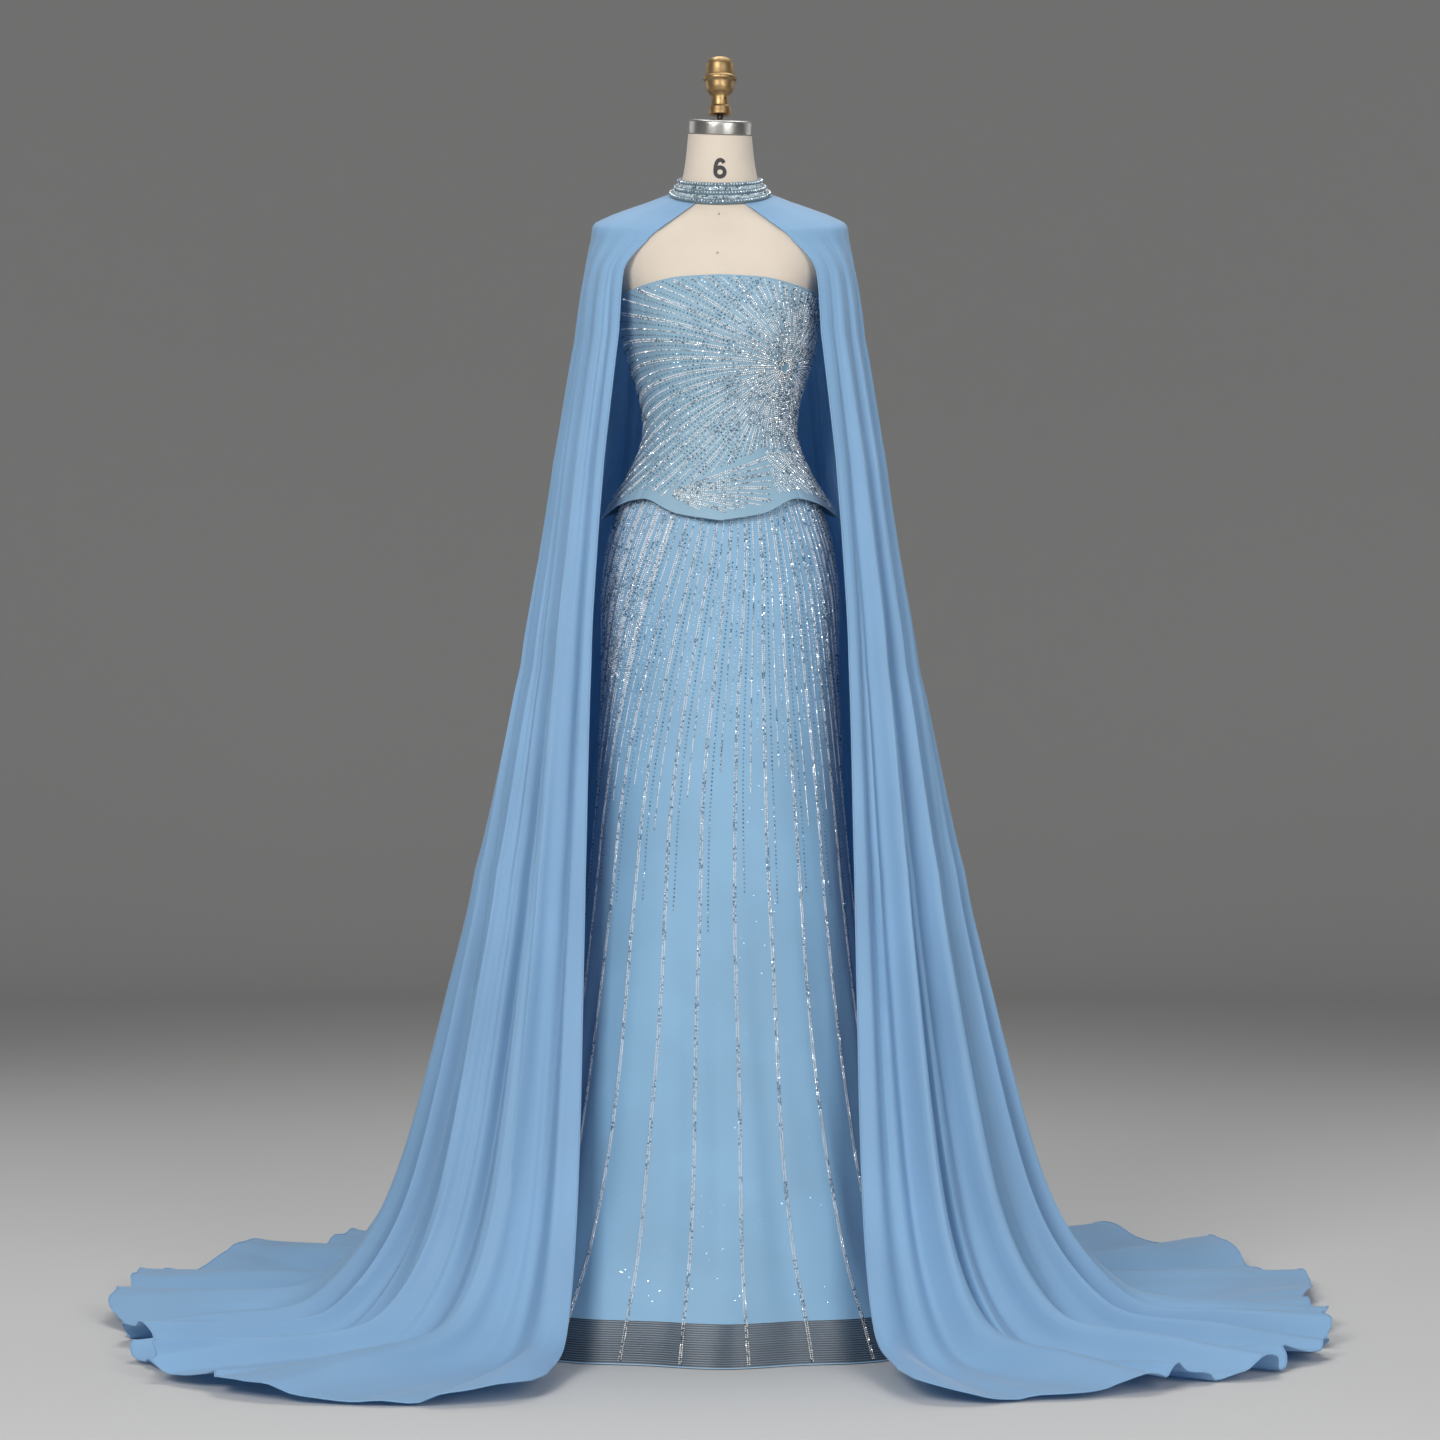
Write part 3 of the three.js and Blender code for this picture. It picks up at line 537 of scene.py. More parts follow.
def stroke(name, path):
    """A flat printed stroke on the front of the neck, along a path across and up from the mark's middle."""
    along = unit(np.gradient(path, axis=0))
    side = np.stack([-along[:, 1], along[:, 0]], axis=-1)
    widths = np.linspace(-DIGIT_STROKE, DIGIT_STROKE, 5)
    flat = path[:, None] + side[:, None] * widths[None, :, None]
    angle, level = np.arcsin(flat[..., 0] / DIGIT_RADIUS), DIGIT_LEVEL + flat[..., 1] * 0.97
    return shell(name, off_form(angle, level, np.full_like(angle, 0.25)), 0.3, flip=True)


def joined(name, parts):
    """One object from several, which are removed."""
    bpy.ops.object.select_all(action="DESELECT")
    for obj in parts:
        obj.select_set(True)
    bpy.context.view_layer.objects.active = parts[0]
    bpy.ops.object.join()
    parts[0].name = name
    return parts[0]


def finish_piece(obj, material, slot, *nodes):
    """Gives a piece its material and body, and hides the solids that it stands for. The slot is not used."""
    obj.data.materials.clear()
    obj.data.materials.append(material)
    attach(obj, "gown")
    if nodes:
        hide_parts(*nodes)
    return obj


# Nodes


def add_node(tree, kind, inputs=None, **settings):
    """A node with its settings. Each input is linked to a socket or set to a value."""
    node = tree.nodes.new(kind)
    for name, value in settings.items():
        setattr(node, name, value)
    for name, value in (inputs or {}).items():
        socket = node.inputs[name]
        if isinstance(value, bpy.types.NodeSocket):
            tree.links.new(value, socket)
        elif isinstance(value, tuple) and len(socket.default_value) == 4:
            socket.default_value = (*value, 1)
        else:
            socket.default_value = value
    return node


# Beads along rows, by Geometry Nodes

BEAD_INPUTS = {
    "Spacing": 0.004, "Length": 0.003, "Width": 0.0018, "Height": 0.0016, "Tilt": 0.3, "Slant": 0.0, "Seed": 1,
}


def bead_tree(shape):
    """A node tree that sets beads along every edge path of a mesh, lying on the way the path's 'out' points."""
    tree = bpy.data.node_groups.new(f"beads {shape}", "GeometryNodeTree")
    face = tree.interface
    face.new_socket("Geometry", in_out="INPUT", socket_type="NodeSocketGeometry")
    for name, default in BEAD_INPUTS.items():
        kind = "NodeSocketInt" if name == "Seed" else "NodeSocketFloat"
        socket = face.new_socket(name, in_out="INPUT", socket_type=kind)
        socket.default_value = default
        if name in ("Spacing", "Length", "Width", "Height"):
            socket.subtype = "DISTANCE"
    face.new_socket("Material", in_out="INPUT", socket_type="NodeSocketMaterial")
    face.new_socket("Geometry", in_out="OUTPUT", socket_type="NodeSocketGeometry")

    def add(kind, inputs=None, **settings):
        return add_node(tree, kind, inputs, **settings).outputs

    given = add("NodeGroupInput")
    curve = add("GeometryNodeMeshToCurve", {"Mesh": given["Geometry"]})
    even = add("GeometryNodeResampleCurve", {"Curve": curve["Curve"], "Length": given["Spacing"]}, mode="LENGTH")
    if shape == "bugle":
        bead = add("GeometryNodeMeshCube")
    else:
        bead = add("GeometryNodeMeshUVSphere", {"Segments": 4, "Rings": 2, "Radius": 0.5})
    size = add("ShaderNodeCombineXYZ", {"X": given["Length"], "Y": given["Width"], "Z": given["Height"]})
    tangent = add("GeometryNodeInputTangent")
    out = add("GeometryNodeInputNamedAttribute", {"Name": "out"}, data_type="FLOAT_VECTOR")
    first = add("FunctionNodeAlignRotationToVector", {"Vector": tangent["Tangent"]}, axis="X")
    ways = {"Rotation": first["Rotation"], "Vector": out["Attribute"]}
    second = add("FunctionNodeAlignRotationToVector", ways, axis="Z", pivot_axis="X")
    minus = add("ShaderNodeMath", {0: given["Tilt"], 1: -1.0}, operation="MULTIPLY")
    limits = {"Seed": given["Seed"]}
    for end, tilt in (("Min", minus[0]), ("Max", given["Tilt"])):
        twist = add("ShaderNodeMath", {0: given["Slant"], 1: tilt}, operation="ADD")
        limits[end] = add("ShaderNodeCombineXYZ", {"X": tilt, "Y": tilt, "Z": twist[0]})["Vector"]
    spread = add("FunctionNodeRandomValue", limits, data_type="FLOAT_VECTOR")
    turn = add("FunctionNodeEulerToRotation", {"Euler": spread["Value"]})
    ways = {"Rotation": second["Rotation"], "Rotate By": turn["Rotation"]}
    both = add("FunctionNodeRotateRotation", ways, rotation_space="LOCAL")
    place = add(
        "GeometryNodeInstanceOnPoints",
        {"Points": even["Curve"], "Instance": bead["Mesh"], "Rotation": both["Rotation"], "Scale": size["Vector"]},
    )
    real = add("GeometryNodeRealizeInstances", {"Geometry": place["Instances"]})
    painted = add("GeometryNodeSetMaterial", {"Geometry": real["Geometry"], "Material": given["Material"]})
    add("NodeGroupOutput", {"Geometry": painted["Geometry"]})
    return tree


def bead_rows(name, rows, tree, look, slot, *sizes):
    """Beads along rows of (points, normals), as one plain mesh. Sizes follow the order of BEAD_INPUTS."""
    points, normals = (np.concatenate(part) for part in zip(*rows))
    edges, start = [], 0
    for row, _ in rows:
        edges.append(np.arange(start, start + len(row) - 1))
        start += len(row)
    edges = np.concatenate(edges)
    mesh = bpy.data.meshes.new(name)
    mesh.from_pydata((points * MM).tolist(), np.stack([edges, edges + 1], axis=-1).tolist(), [])
    mesh.attributes.new("out", "FLOAT_VECTOR", "POINT").data.foreach_set("vector", normals.ravel())
    obj = new_object(name, mesh)
    modifier = obj.modifiers.new("beads", "NODES")
    modifier.node_group = tree
    sockets = {item.name: item.identifier for item in tree.interface.items_tree if item.in_out == "INPUT"}
    for key, value in zip(BEAD_INPUTS, sizes):
        modifier[sockets[key]] = value
    modifier[sockets["Material"]] = paint(look)
    graph = bpy.context.evaluated_depsgraph_get()
    plain = bpy.data.meshes.new_from_object(obj.evaluated_get(graph), depsgraph=graph)
    obj.modifiers.clear()
    obj.data = plain
    plain.name = name
    return finish_piece(obj, paint(look), slot)


def row_on(surface, angles, heights, lift):
    """A row of points on a surface, lifted off it, with its normals."""
    normals = normal_of(surface, angles, heights)
    return surface(angles, heights) + normals * lift, normals


# Materials


class Paint:
    """A material under construction, with short ways to add nodes."""

    def __init__(self, name):
        self.material = bpy.data.materials.new(name)
        self.material.use_nodes = True
        self.tree = self.material.node_tree
        self.tree.nodes.clear()

    def add(self, kind, inputs=None, **settings):
        return add_node(self.tree, kind, inputs, **settings).outputs

    def coords(self, uv=False):
        return self.add("ShaderNodeTexCoord")["UV" if uv else "Object"]

    def noise(self, where, scale, detail=3):
        return self.add("ShaderNodeTexNoise", {"Vector": where, "Scale": scale, "Detail": detail})["Fac"]

    def cells(self, where, scale):
        return self.add("ShaderNodeTexVoronoi", {"Vector": where, "Scale": scale})

    def wave(self, where, scale, direction):
        return self.add("ShaderNodeTexWave", {"Vector": where, "Scale": scale}, bands_direction=direction)["Fac"]

    def math(self, operation, first, second):
        return self.add("ShaderNodeMath", {0: first, 1: second}, operation=operation)[0]

    def ramp(self, source, *stops):
        made = add_node(self.tree, "ShaderNodeValToRGB", {"Fac": source})
        while len(made.color_ramp.elements) < len(stops):
            made.color_ramp.elements.new(0.5)
        for element, (position, colour) in zip(made.color_ramp.elements, stops):
            element.position = position
            element.color = (*colour, 1)
        return made.outputs["Color"]

    def patchy(self, colour, noise, low, high):
        """A colour that drifts from darker to lighter with a noise."""
        return self.ramp(noise, (0.3, shade(colour, low)), (0.7, shade(colour, high)))

    def range(self, source, *limits):
        names = "From Min", "From Max", "To Min", "To Max"
        return self.add("ShaderNodeMapRange", {"Value": source, **dict(zip(names, limits))})["Result"]

    def bump(self, height, strength, distance):
        return self.add("ShaderNodeBump", {"Height": height, "Strength": strength, "Distance": distance})["Normal"]

    def principled(self, colour, rough, metal=0.0, **more):
        inputs = {"Base Color": colour, "Roughness": rough, "Metallic": metal}
        inputs.update((name.replace("_", " "), value) for name, value in more.items())
        return self.add("ShaderNodeBsdfPrincipled", inputs)["BSDF"]

    def mix(self, share, first, second):
        return self.add("ShaderNodeMixShader", {0: share, 1: first, 2: second})[0]

    def shader(self, kind, colour):
        return self.add(kind, {"Color": colour})[0]

    def done(self, surface):
        self.add("ShaderNodeOutputMaterial", {"Surface": surface})
        return self.material


def shade(colour, factor):
    """A lighter or darker colour."""
    return tuple(min(channel * factor, 1) for channel in colour)


def linen_paint(colour):
    p = Paint("linen")
    where = p.coords()
    weave = p.math("ADD", p.noise(where, 900, 2), p.noise(where, 260, 2))
    tone = p.patchy(colour, p.noise(where, 9, 4), 0.94, 1.04)
    return p.done(p.principled(tone, 0.82, Normal=p.bump(weave, 0.25, 0.0006), Sheen_Weight=0.15))


def chiffon_paint(colour):
    p = Paint("chiffon")
    where = p.coords(uv=True)
    crepe = p.bump(p.noise(where, 700, 1), 0.12, 0.0004)
    tone = p.patchy(colour, p.noise(where, 5, 1), 0.95, 1.05)
    cloth = p.principled(tone, 0.62, Normal=crepe, Sheen_Weight=0.35, Sheen_Roughness=0.4)
    through = p.shader("ShaderNodeBsdfTranslucent", shade(colour, 1.15))
    return p.done(p.mix(0.34, cloth, through))


def tulle_paint(name, colour, glitter):
    p = Paint(name)
    where = p.coords(uv=True)
    net = p.bump(p.cells(where, 700)["Distance"], 0.2, 0.0004)
    lit = p.math("LESS_THAN", p.cells(where, glitter)["Distance"], 0.048)
    chosen = p.math("GREATER_THAN", p.noise(where, 17, 2), 0.47)
    tone = p.patchy(colour, p.noise(where, 7, 2), 0.93, 1.06)
    cloth = p.principled(tone, 0.55, Normal=net, Sheen_Weight=0.25, Specular_IOR_Level=0.4)
    foil = p.principled((0.9, 0.95, 1.0), 0.22, 1.0)
    return p.done(p.mix(p.math("MULTIPLY", lit, chosen), cloth, foil))


def lining_paint(colour):
    p = Paint("lining")
    twill = p.bump(p.noise(p.coords(uv=True), 1100, 2), 0.1, 0.0003)
    return p.done(p.principled(colour, 0.45, Normal=twill, Sheen_Weight=0.1))


def horsehair_paint(colour):
    p = Paint("horsehair")
    where = p.coords(uv=True)
    strands = p.math("MAXIMUM", p.wave(where, 95, "Y"), p.math("MULTIPLY", p.wave(where, 160, "X"), 0.55))
    tone = p.ramp(strands, (0.2, shade(colour, 0.3)), (0.9, colour))
    hair = p.principled(tone, 0.35, Normal=p.bump(strands, 0.3, 0.0004))
    clear = p.shader("ShaderNodeBsdfTransparent", WHITE)
    return p.done(p.mix(p.range(strands, 0.3, 0.95, 0.5, 0.15), hair, clear))


def bead_paint(name, dark, bright, rough):
    p = Paint(name)
    where = p.coords()
    # Each bead's cell gives it one tone between the dark and bright stops. This is the beads' own colour together with
    # painted glints at the pale and bright stops and painted shade at the dark stop.
    patch = p.range(p.noise(where, 38, 2), 0.35, 0.65, -0.18, 0.18)
    glint_pick = p.math("ADD", p.cells(where, 420)["Color"], patch)
    pale_glint = shade((0.9, 0.93, 0.9), bright[2])
    tone = p.ramp(glint_pick, (0.2, dark), (0.34, shade(bright, 0.6)), (0.44, pale_glint), (0.5, bright))
    return p.done(p.principled(tone, rough, 0.2, Coat_Weight=0.6, Coat_Roughness=0.05, Specular_IOR_Level=0.9))


def metal_paint(name, colour, rough, worn=0.0, lines=0.0):
    p = Paint(name)
    where = p.coords()
    patch = p.noise(where, 60, 4)
    tone = p.ramp(patch, (0.35, shade(colour, 1 - worn)), (0.65, colour))
    uneven = p.range(patch, 0.3, 0.7, rough * 1.25, rough * 0.85)
    if lines:
        flat = p.add("ShaderNodeMapping", {"Vector": where, "Scale": (1, 1, 90)})
        normal = p.bump(p.noise(flat[0], 30, 2), lines, 0.0004)
    else:
        normal = p.bump(p.noise(where, 220, 2), 0.08, 0.0004)
    return p.done(p.principled(tone, uneven, 1.0, Normal=normal))


def plain_paint(name, colour, rough, metal=0.0):
    p = Paint(name)
    return p.done(p.principled(p.patchy(colour, p.noise(p.coords(), 40), 0.93, 1), rough, metal))


PAINTS = {}


def paint(name):
    """One of the shared materials, made when it is first asked for."""
    look = bpy.context.scene.dress_colours
    makers = {
        "linen": lambda: linen_paint(tuple(look.linen)),
        "chiffon": lambda: chiffon_paint(tuple(look.chiffon)),
        "bodice": lambda: tulle_paint("bodice_tulle", tuple(look.bodice), 240),
        "skirt": lambda: tulle_paint("skirt_tulle", tuple(look.skirt), 105),
        "collar": lambda: tulle_paint("collar_tulle", shade(tuple(look.bodice), 0.4), 240),
        "mixed": lambda: bead_paint("mixed_stones", (0.02, 0.06, 0.10), (0.66, 0.82, 0.92), 0.12),
        "lining": lambda: lining_paint(tuple(look.lining)),
        "horsehair": lambda: horsehair_paint((0.12, 0.17, 0.23)),
        "silver": lambda: bead_paint("silver_bugles", (0.05, 0.10, 0.15), (1.0, 1.0, 1.0), 0.15),
        "crystal": lambda: bead_paint("crystals", (0.06, 0.12, 0.17), (1.0, 1.0, 1.0), 0.12),
        "blue": lambda: bead_paint("blue_beads", (0.015, 0.03, 0.05), (0.2, 0.3, 0.38), 0.15),
        "steel": lambda: metal_paint("brushed_steel", (0.50, 0.49, 0.47), 0.3, 0.08, lines=0.25),
        "brass": lambda: metal_paint("antique_brass", (0.50, 0.335, 0.16), 0.42, 0.45),
        "nickel": lambda: metal_paint("nickel", (0.62, 0.62, 0.63), 0.25, 0.1),
        "rod": lambda: plain_paint("dark_rod", (0.02, 0.02, 0.022), 0.35, 0.6),
        "stand": lambda: plain_paint("stand_paint", (0.72, 0.7, 0.66), 0.4),
        "ink": lambda: plain_paint("dark_ink", (0.03, 0.028, 0.03), 0.6),
        "pin": lambda: metal_paint("pin_steel", (0.5, 0.5, 0.5), 0.3),
    }
    if name not in PAINTS:
        PAINTS[name] = makers[name]()
    return PAINTS[name]


# Cape


def fold_phase(step, side):
    """The share of the way from the front edge to the centre back at a fold step."""
    share = step / FOLD_LAST
    drift = 0.4 if side > 0 else 2.1
    wobble = 0.035 * np.sin(9 * share + drift) + 0.025 * np.sin(23 * share + 2 * drift)
    return share + share * (1 - share) * wobble


def inner_steps(step, margin):
    """1 between the cape's front edge and the centre back, fading to 0 over a margin at both."""
    return ramp(step, 0, margin) * (1 - ramp(step, FOLD_LAST - margin, FOLD_LAST))


def fold_height(step, side, drift=0.0):
    """How far a fold stands out, from -1 to 1, at a fold step."""
    depth = 0.8 + 0.2 * np.sin(1.7 * step + side)
    return np.sin(step * 0.5 * math.pi + 0.25 * math.pi + drift) * depth * inner_steps(step, 3)


def cape_angle(step, side, open_x, half):
    """The angle of a fold step on a section whose front edge stands at open_x."""
    start = np.arcsin(open_x / half)
    return side * (start + (math.pi - start) * fold_phase(step, side))


def cape_base(step, side):
    """Points of the smooth cape for each fold step, one for each section from collar to hem."""
    points = []
    for level, clear, open_x, _ in zip(*SHOULDER.values()):
        half = column(FORM, "level", "half", level) + clear
        angle = cape_angle(step, side, open_x, half)
        points.append(off_form(angle, np.full_like(angle, level), np.full_like(angle, clear + CAPE_WALL)))
    for z, half, front, back, open_x, _ in zip(*HANGING.values()):
        angle = cape_angle(step, side, open_x, half)
        depth = np.where(np.cos(angle) > 0, front, back)
        points.append(xyz(half * np.sin(angle), -depth * np.cos(angle), z))
    foot = points[-1] * [1, 1, 0]
    turn = np.arccos(np.clip(-foot[:, 1] / np.hypot(foot[:, 0], foot[:, 1]), -1, 1))
    turn = turn - 11 * DEG * (1 - ramp(turn / DEG, 30, 60))
    radius = column(HEM, "angle", "right" if side > 0 else "left", turn / DEG)
    radius = radius + HEM_WAVE * fold_height(step, side)
    hem = xyz(radius * np.sin(side * turn), -radius * np.cos(side * turn), 0)
    for spread in FLOOR["spread"]:
        points.append(foot + (hem - foot) * spread + [0, 0, 2])
    return np.stack(points, axis=1)


def of_side(rows, side):
    """The rows of a table that belong to one side, without that column."""
    return [row[1:] for row in zip(*rows.values()) if row[0] == side]


def cape_steps(side):
    """Fold steps of the cape's mesh columns, closer together where the hem turns up."""
    fineness = bpy.context.scene.dress_sizes.cape_fineness
    near = [at + np.linspace(-2, 2, 13) * wide + 0.013 for at, _, wide, _ in of_side(CURLS, side)]
    return np.unique(np.concatenate([np.linspace(0, FOLD_LAST, FOLD_LAST * fineness + 1), *near]))


def creases(side, step, down):
    """How deep the sharp creases run in, steep on one side and soft on the other."""
    total = np.zeros(np.broadcast_shapes(step.shape, down.shape))
    for at, deep, wide, start in of_side(CREASES, side):
        line = at + 0.5 * np.sin(3.1 * down + at) * (1 - down) - 0.25
        away = (step - line) / wide
        shape = np.where(away > 0, np.exp(-((away / 0.75) ** 2)), np.exp(-((away / 2.4) ** 2)))
        fade = ramp(down, start, start + 0.3) * (1 - 0.25 * ramp(down, 0.8, 1.0))
        total = total - deep * shape * fade
    return total


def relief(side, s, down, depth, lying):
    """How far the cape's folds, creases and ripples stand off its smooth surface."""
    drift = 0.3 * np.sin(0.31 * s + 5 * down + side) * ramp(down, 0.1, 0.5)
    lean = 0.35 * side * np.sin(s * 0.5 * math.pi) * ramp(down, 0.2, 0.6)
    main = fold_height(s, side, drift + lean)
    sharp = np.sign(main) * np.abs(main) ** np.where(main > 0, 0.75, 1.3)
    inner = inner_steps(s, 2)
    fine = np.sin(4.3 * s + 1.6 * np.sin(0.61 * s + side) + 4 * down) * (0.1 + 0.06 * np.sin(2.3 * s + 9 * down))
    small = np.sin(9.7 * s + 2.1 * np.sin(1.3 * s) - 6 * down) * 0.035
    out = depth * (sharp + lying * 0.8 + inner * (fine + small))
    out = out + CREASE_STRENGTH * inner * creases(side, s, down)
    return out + 1.2 * inner * np.sin(3.1 * s + 2 * side) * ramp(down, 0.06, 0.2)


def raise_hem(grid, side, s, down):
    """Lifts the folds that lie on the floor, ripples the hem and turns its curls up."""
    wave = s * math.pi / 2 + 0.25 * math.pi + 0.4 * np.sin(0.9 * s + side) + 0.5 * (down - 0.8)
    crest = (0.5 + 0.5 * np.sin(wave)) ** 2.2
    grid[..., 2] += ramp(down, 0.7, 0.86) * (1 - 0.5 * ramp(down, 0.9, 1.0)) * (5 + 24 * crest)
    for _ in range(HEM_PASSES):
        grid[:, 1:-1, 2] = 0.25 * grid[:, :-2, 2] + 0.5 * grid[:, 1:-1, 2] + 0.25 * grid[:, 2:, 2]
    ahead = unit(grid[..., :2])
    sideways = np.stack([-ahead[..., 1], ahead[..., 0]], axis=-1)
    ripple = np.sin(5.1 * s + 2.2 * np.sin(0.83 * s + side)) * (0.6 + 0.4 * np.sin(1.9 * s + 2 * side))
    near_hem = ramp(down, 0.86, 1.0) ** 2 * inner_steps(s, 2)
    grid[..., :2] += ahead * (5 * ripple * near_hem)[..., None]
    grid[..., 2] += 3.5 * (ripple + 0.6) * near_hem
    tip = ramp(down, 0.84, 1.0) ** 1.5
    for at, high, wide, lean in of_side(CURLS, side):
        lift = high * np.exp(-(((s - at) / wide) ** 2)) * tip
        grid[..., 2] += lift
        grid[..., :2] += sideways * (lean * 0.7 * lift)[..., None] - ahead * (lift * 0.35 * tip)[..., None]


def cape_half(side):
    """A fine grid of one half of the cape, from its front edge to the centre back and from collar to hem."""
    step = cape_steps(side)
    base = cape_base(step, side)
    shoulder, hanging, floor = len(SHOULDER["level"]), len(HANGING["z"]), len(FLOOR["spread"])
    gaps = np.linalg.norm(np.diff(base, axis=1), axis=-1).mean(axis=0)
    reach = np.concatenate([[0], np.cumsum(gaps)])
    parts = [SHOULDER_ROWS] * (shoulder - 1) + [HANGING_ROWS] * hanging + [FLOOR_ROWS] * floor
    spans = [np.linspace(reach[i], reach[i + 1], count, endpoint=False) for i, count in enumerate(parts)]
    rows = np.concatenate([*spans, reach[-1:]])
    fold = np.concatenate([SHOULDER["fold"], HANGING["fold"], FLOOR["fold"]])
    depth = smooth_column(reach, fold, rows)[None]
    lying = smooth_column(reach, np.repeat([0.0, 1.0], [shoulder + hanging, floor]), rows)[None]
    smooth = np.swapaxes(smooth_column(reach, np.swapaxes(base, 0, 1), rows), 0, 1)
    s, down = step[:, None], (rows / reach[-1])[None]
    grid = smooth - side * grid_normals(smooth) * relief(side, s, down, depth, lying)[..., None]
    turning = (ramp(down, 0.62, 0.7) * (1 - ramp(down, 0.94, 1.0)))[..., None]
    for _ in range(FOLD_PASSES):
        mean = 0.25 * grid[:, :-2] + 0.5 * grid[:, 1:-1] + 0.25 * grid[:, 2:]
        grid[:, 1:-1] += (mean - grid[:, 1:-1]) * turning[:, 1:-1]
    raise_hem(grid, side, s, down)
    down = down[0]
    for i in range(int(np.sum(step < CORNER_STEPS))):
        cut = CORNER_CUT * (1 - math.sqrt(1 - (1 - step[i] / CORNER_STEPS) ** 2))
        shorter = down * (1 - cut * ramp(down, 0.55, 1))
        grid[i] = np.stack([np.interp(shorter, down, grid[i, :, axis]) for axis in range(3)], axis=-1)
    grid[..., 2] = np.maximum(grid[..., 2], 1.0)
    grid[-1, :, 0] = side * 0.5
    return grid


# Bead layouts


def trimmed(keep):
    """The first unbroken run that is kept, or None if it is short."""
    if not keep.any():
        return None
    first = int(np.argmax(keep))
    after = np.flatnonzero(~keep[first:])
    last = first + (int(after[0]) if len(after) else len(keep) - first)
    return slice(first, last) if last - first > 3 else None


def fan(focus, headings, starts, reach, sag, inside):
    """Rows that fan out from a point of the unrolled bodice, sagging as they go. Each keeps its number."""
    rays = []
    for number, heading in enumerate(headings):
        distance = np.arange(starts[number % len(starts)], reach, ROW_STEP)
        across = focus[0] + distance * math.cos(heading)
        level = focus[1] + distance * math.sin(heading) - sag * distance**2 * math.cos(heading) ** 2
        angle = across / ROUND
        keep = (np.abs(angle) < 177 * DEG) & (level < bodice_edge(angle, "top") - 3)
        keep &= (level > bodice_edge(angle, "hem") + HEM_MARGIN) & inside(across, level)
        stretch = trimmed(keep)
        if stretch is not None:
            rays.append((number, angle[stretch], level[stretch]))
    return rays


def above_leaf(across, level):
    """Whether a point lies above the leaf of beads on the basque's front and the sweep beside it."""
    line = LEAF_POINT[1] + 4 + (across - LEAF_POINT[0]) * math.tan(26 * DEG)
    return (across < LEAF_POINT[0]) | (level > np.minimum(line, 1302))


def in_leaf(across, level):
    """Whether a point lies on the leaf's side of the line between leaf and sweep."""
    return across < 66 + 0.2 * (level - 1240)


def in_sweep(across, level):
    """Whether a point lies where the sweep runs, low on the bodice's side."""
    return (across > 70) & (level < 1300)


def bodice_rays():
    """Sunburst, leaf and sweep rows on the bodice and basque, as lists of double rows, single rows and dots."""
    turns = np.arange(SUN_RAYS) * (2 * math.pi / SUN_RAYS)
    sun = fan(SUN_POINT, turns, (8, 60, 36, 74), 600, 0.0005, above_leaf)
    between = fan(SUN_POINT, turns + math.pi / SUN_RAYS, (98, 122), 600, 0.0005, above_leaf)
    leaf = fan(LEAF_POINT, np.linspace(-31, 23, 13) * DEG, (6, 50, 28, 62), 150, 0.0002, in_leaf)
    sweep = fan(SWEEP_POINT, np.linspace(-66, 4, 20) * DEG, (24, 76, 48, 84), 620, 0.0003, in_sweep)
    rows = sun + leaf + sweep
    double, single = ([ray[1:] for ray in rows if ray[0] % 2 == odd] for odd in (0, 1))
    return double, single, [ray[1:] for ray in between]


def skirt_row(around, top, low):
    """One row on the skirt: its distance around from the hub at the hem, and its upper and lower ends."""
    z = np.arange(top, low, -6.0)
    share = smooth_column(FAN["z"], FAN["share"], z)
    still = (abs(around) / math.pi) ** 4
    angle = FAN_HUB + around * (share + (1 - share) * still)
    angle = angle + 0.3 * DEG * np.sin(0.013 * z + 40 * around) * ramp(900 - z, 0, 300)
    angle = (angle + math.pi) % (2 * math.pi) - math.pi
    keep = (z < bodice_edge(angle, "hem") + 6) & (np.abs(angle) < 179.2 * DEG)
    return angle[keep], z[keep]


def skirt_rays():
    """Rows that fan down the skirt from a hub under the basque, by kind."""
    rays = {"long": [], "dots": [], "middle": [], "spots": [], "side": []}
    for i in range(SKIRT_RAYS):
        around = 2 * math.pi * (i + 0.35) / SKIRT_RAYS - math.pi
        jitter = math.sin(12.9 * i) * math.sin(4.1 * i)
        kind, top, low = (
            ("long", SKIRT_RAY_TOP, 2.5),
            ("dots", 1170 + 40 * jitter, 640 + 40 * jitter),
            ("middle", SKIRT_RAY_TOP, 800 + 60 * jitter),
            ("spots", 1080 + 70 * jitter, 880 + 60 * jitter),
        )[i % 4]
        rays[kind].append(skirt_row(around, top, low))
        if abs(around) > 88 * DEG:
            rays["side"].append(skirt_row(around + math.pi / SKIRT_RAYS, SKIRT_RAY_TOP, 960 + 70 * jitter))
    return rays


def beside(rays, surface, shift=0.0):
    """Rows of points and normals just off a surface, moved sideways along it."""
    rows = []
    for angle, height in rays:
        points, normals = row_on(surface, angle, height, BEAD_LIFT)
        along = unit(np.gradient(points, axis=0))
        rows.append((points + np.cross(normals, along) * shift, normals))
    return rows


# Add-on


def length(name, about, default, low):
    """A length that a user may change."""
    return FloatProperty(name=name, description=about, default=default, min=low, subtype="DISTANCE", unit="LENGTH")


def colour(name, about, default):
    """A colour that a user may change."""
    return FloatVectorProperty(name=name, description=about, default=default, subtype="COLOR", size=3, min=0, max=1)


class DressSizes(bpy.types.PropertyGroup):
    """Sizes a user may change."""

    bead_spacing: length("Bead spacing", "Distance from bead to bead along a row", 0.0029, 0.002)
    bead_width: length("Bead width", "Width of the small beads", 0.0019, 0.0005)
    cloth_wall: length("Chiffon thickness", "Thickness of the cape's shell", 0.0008, 0.0002)
    cape_fineness: IntProperty(
        name="Cape fineness", description="Columns of the cape's mesh in each quarter fold", default=6, min=2, max=12
    )


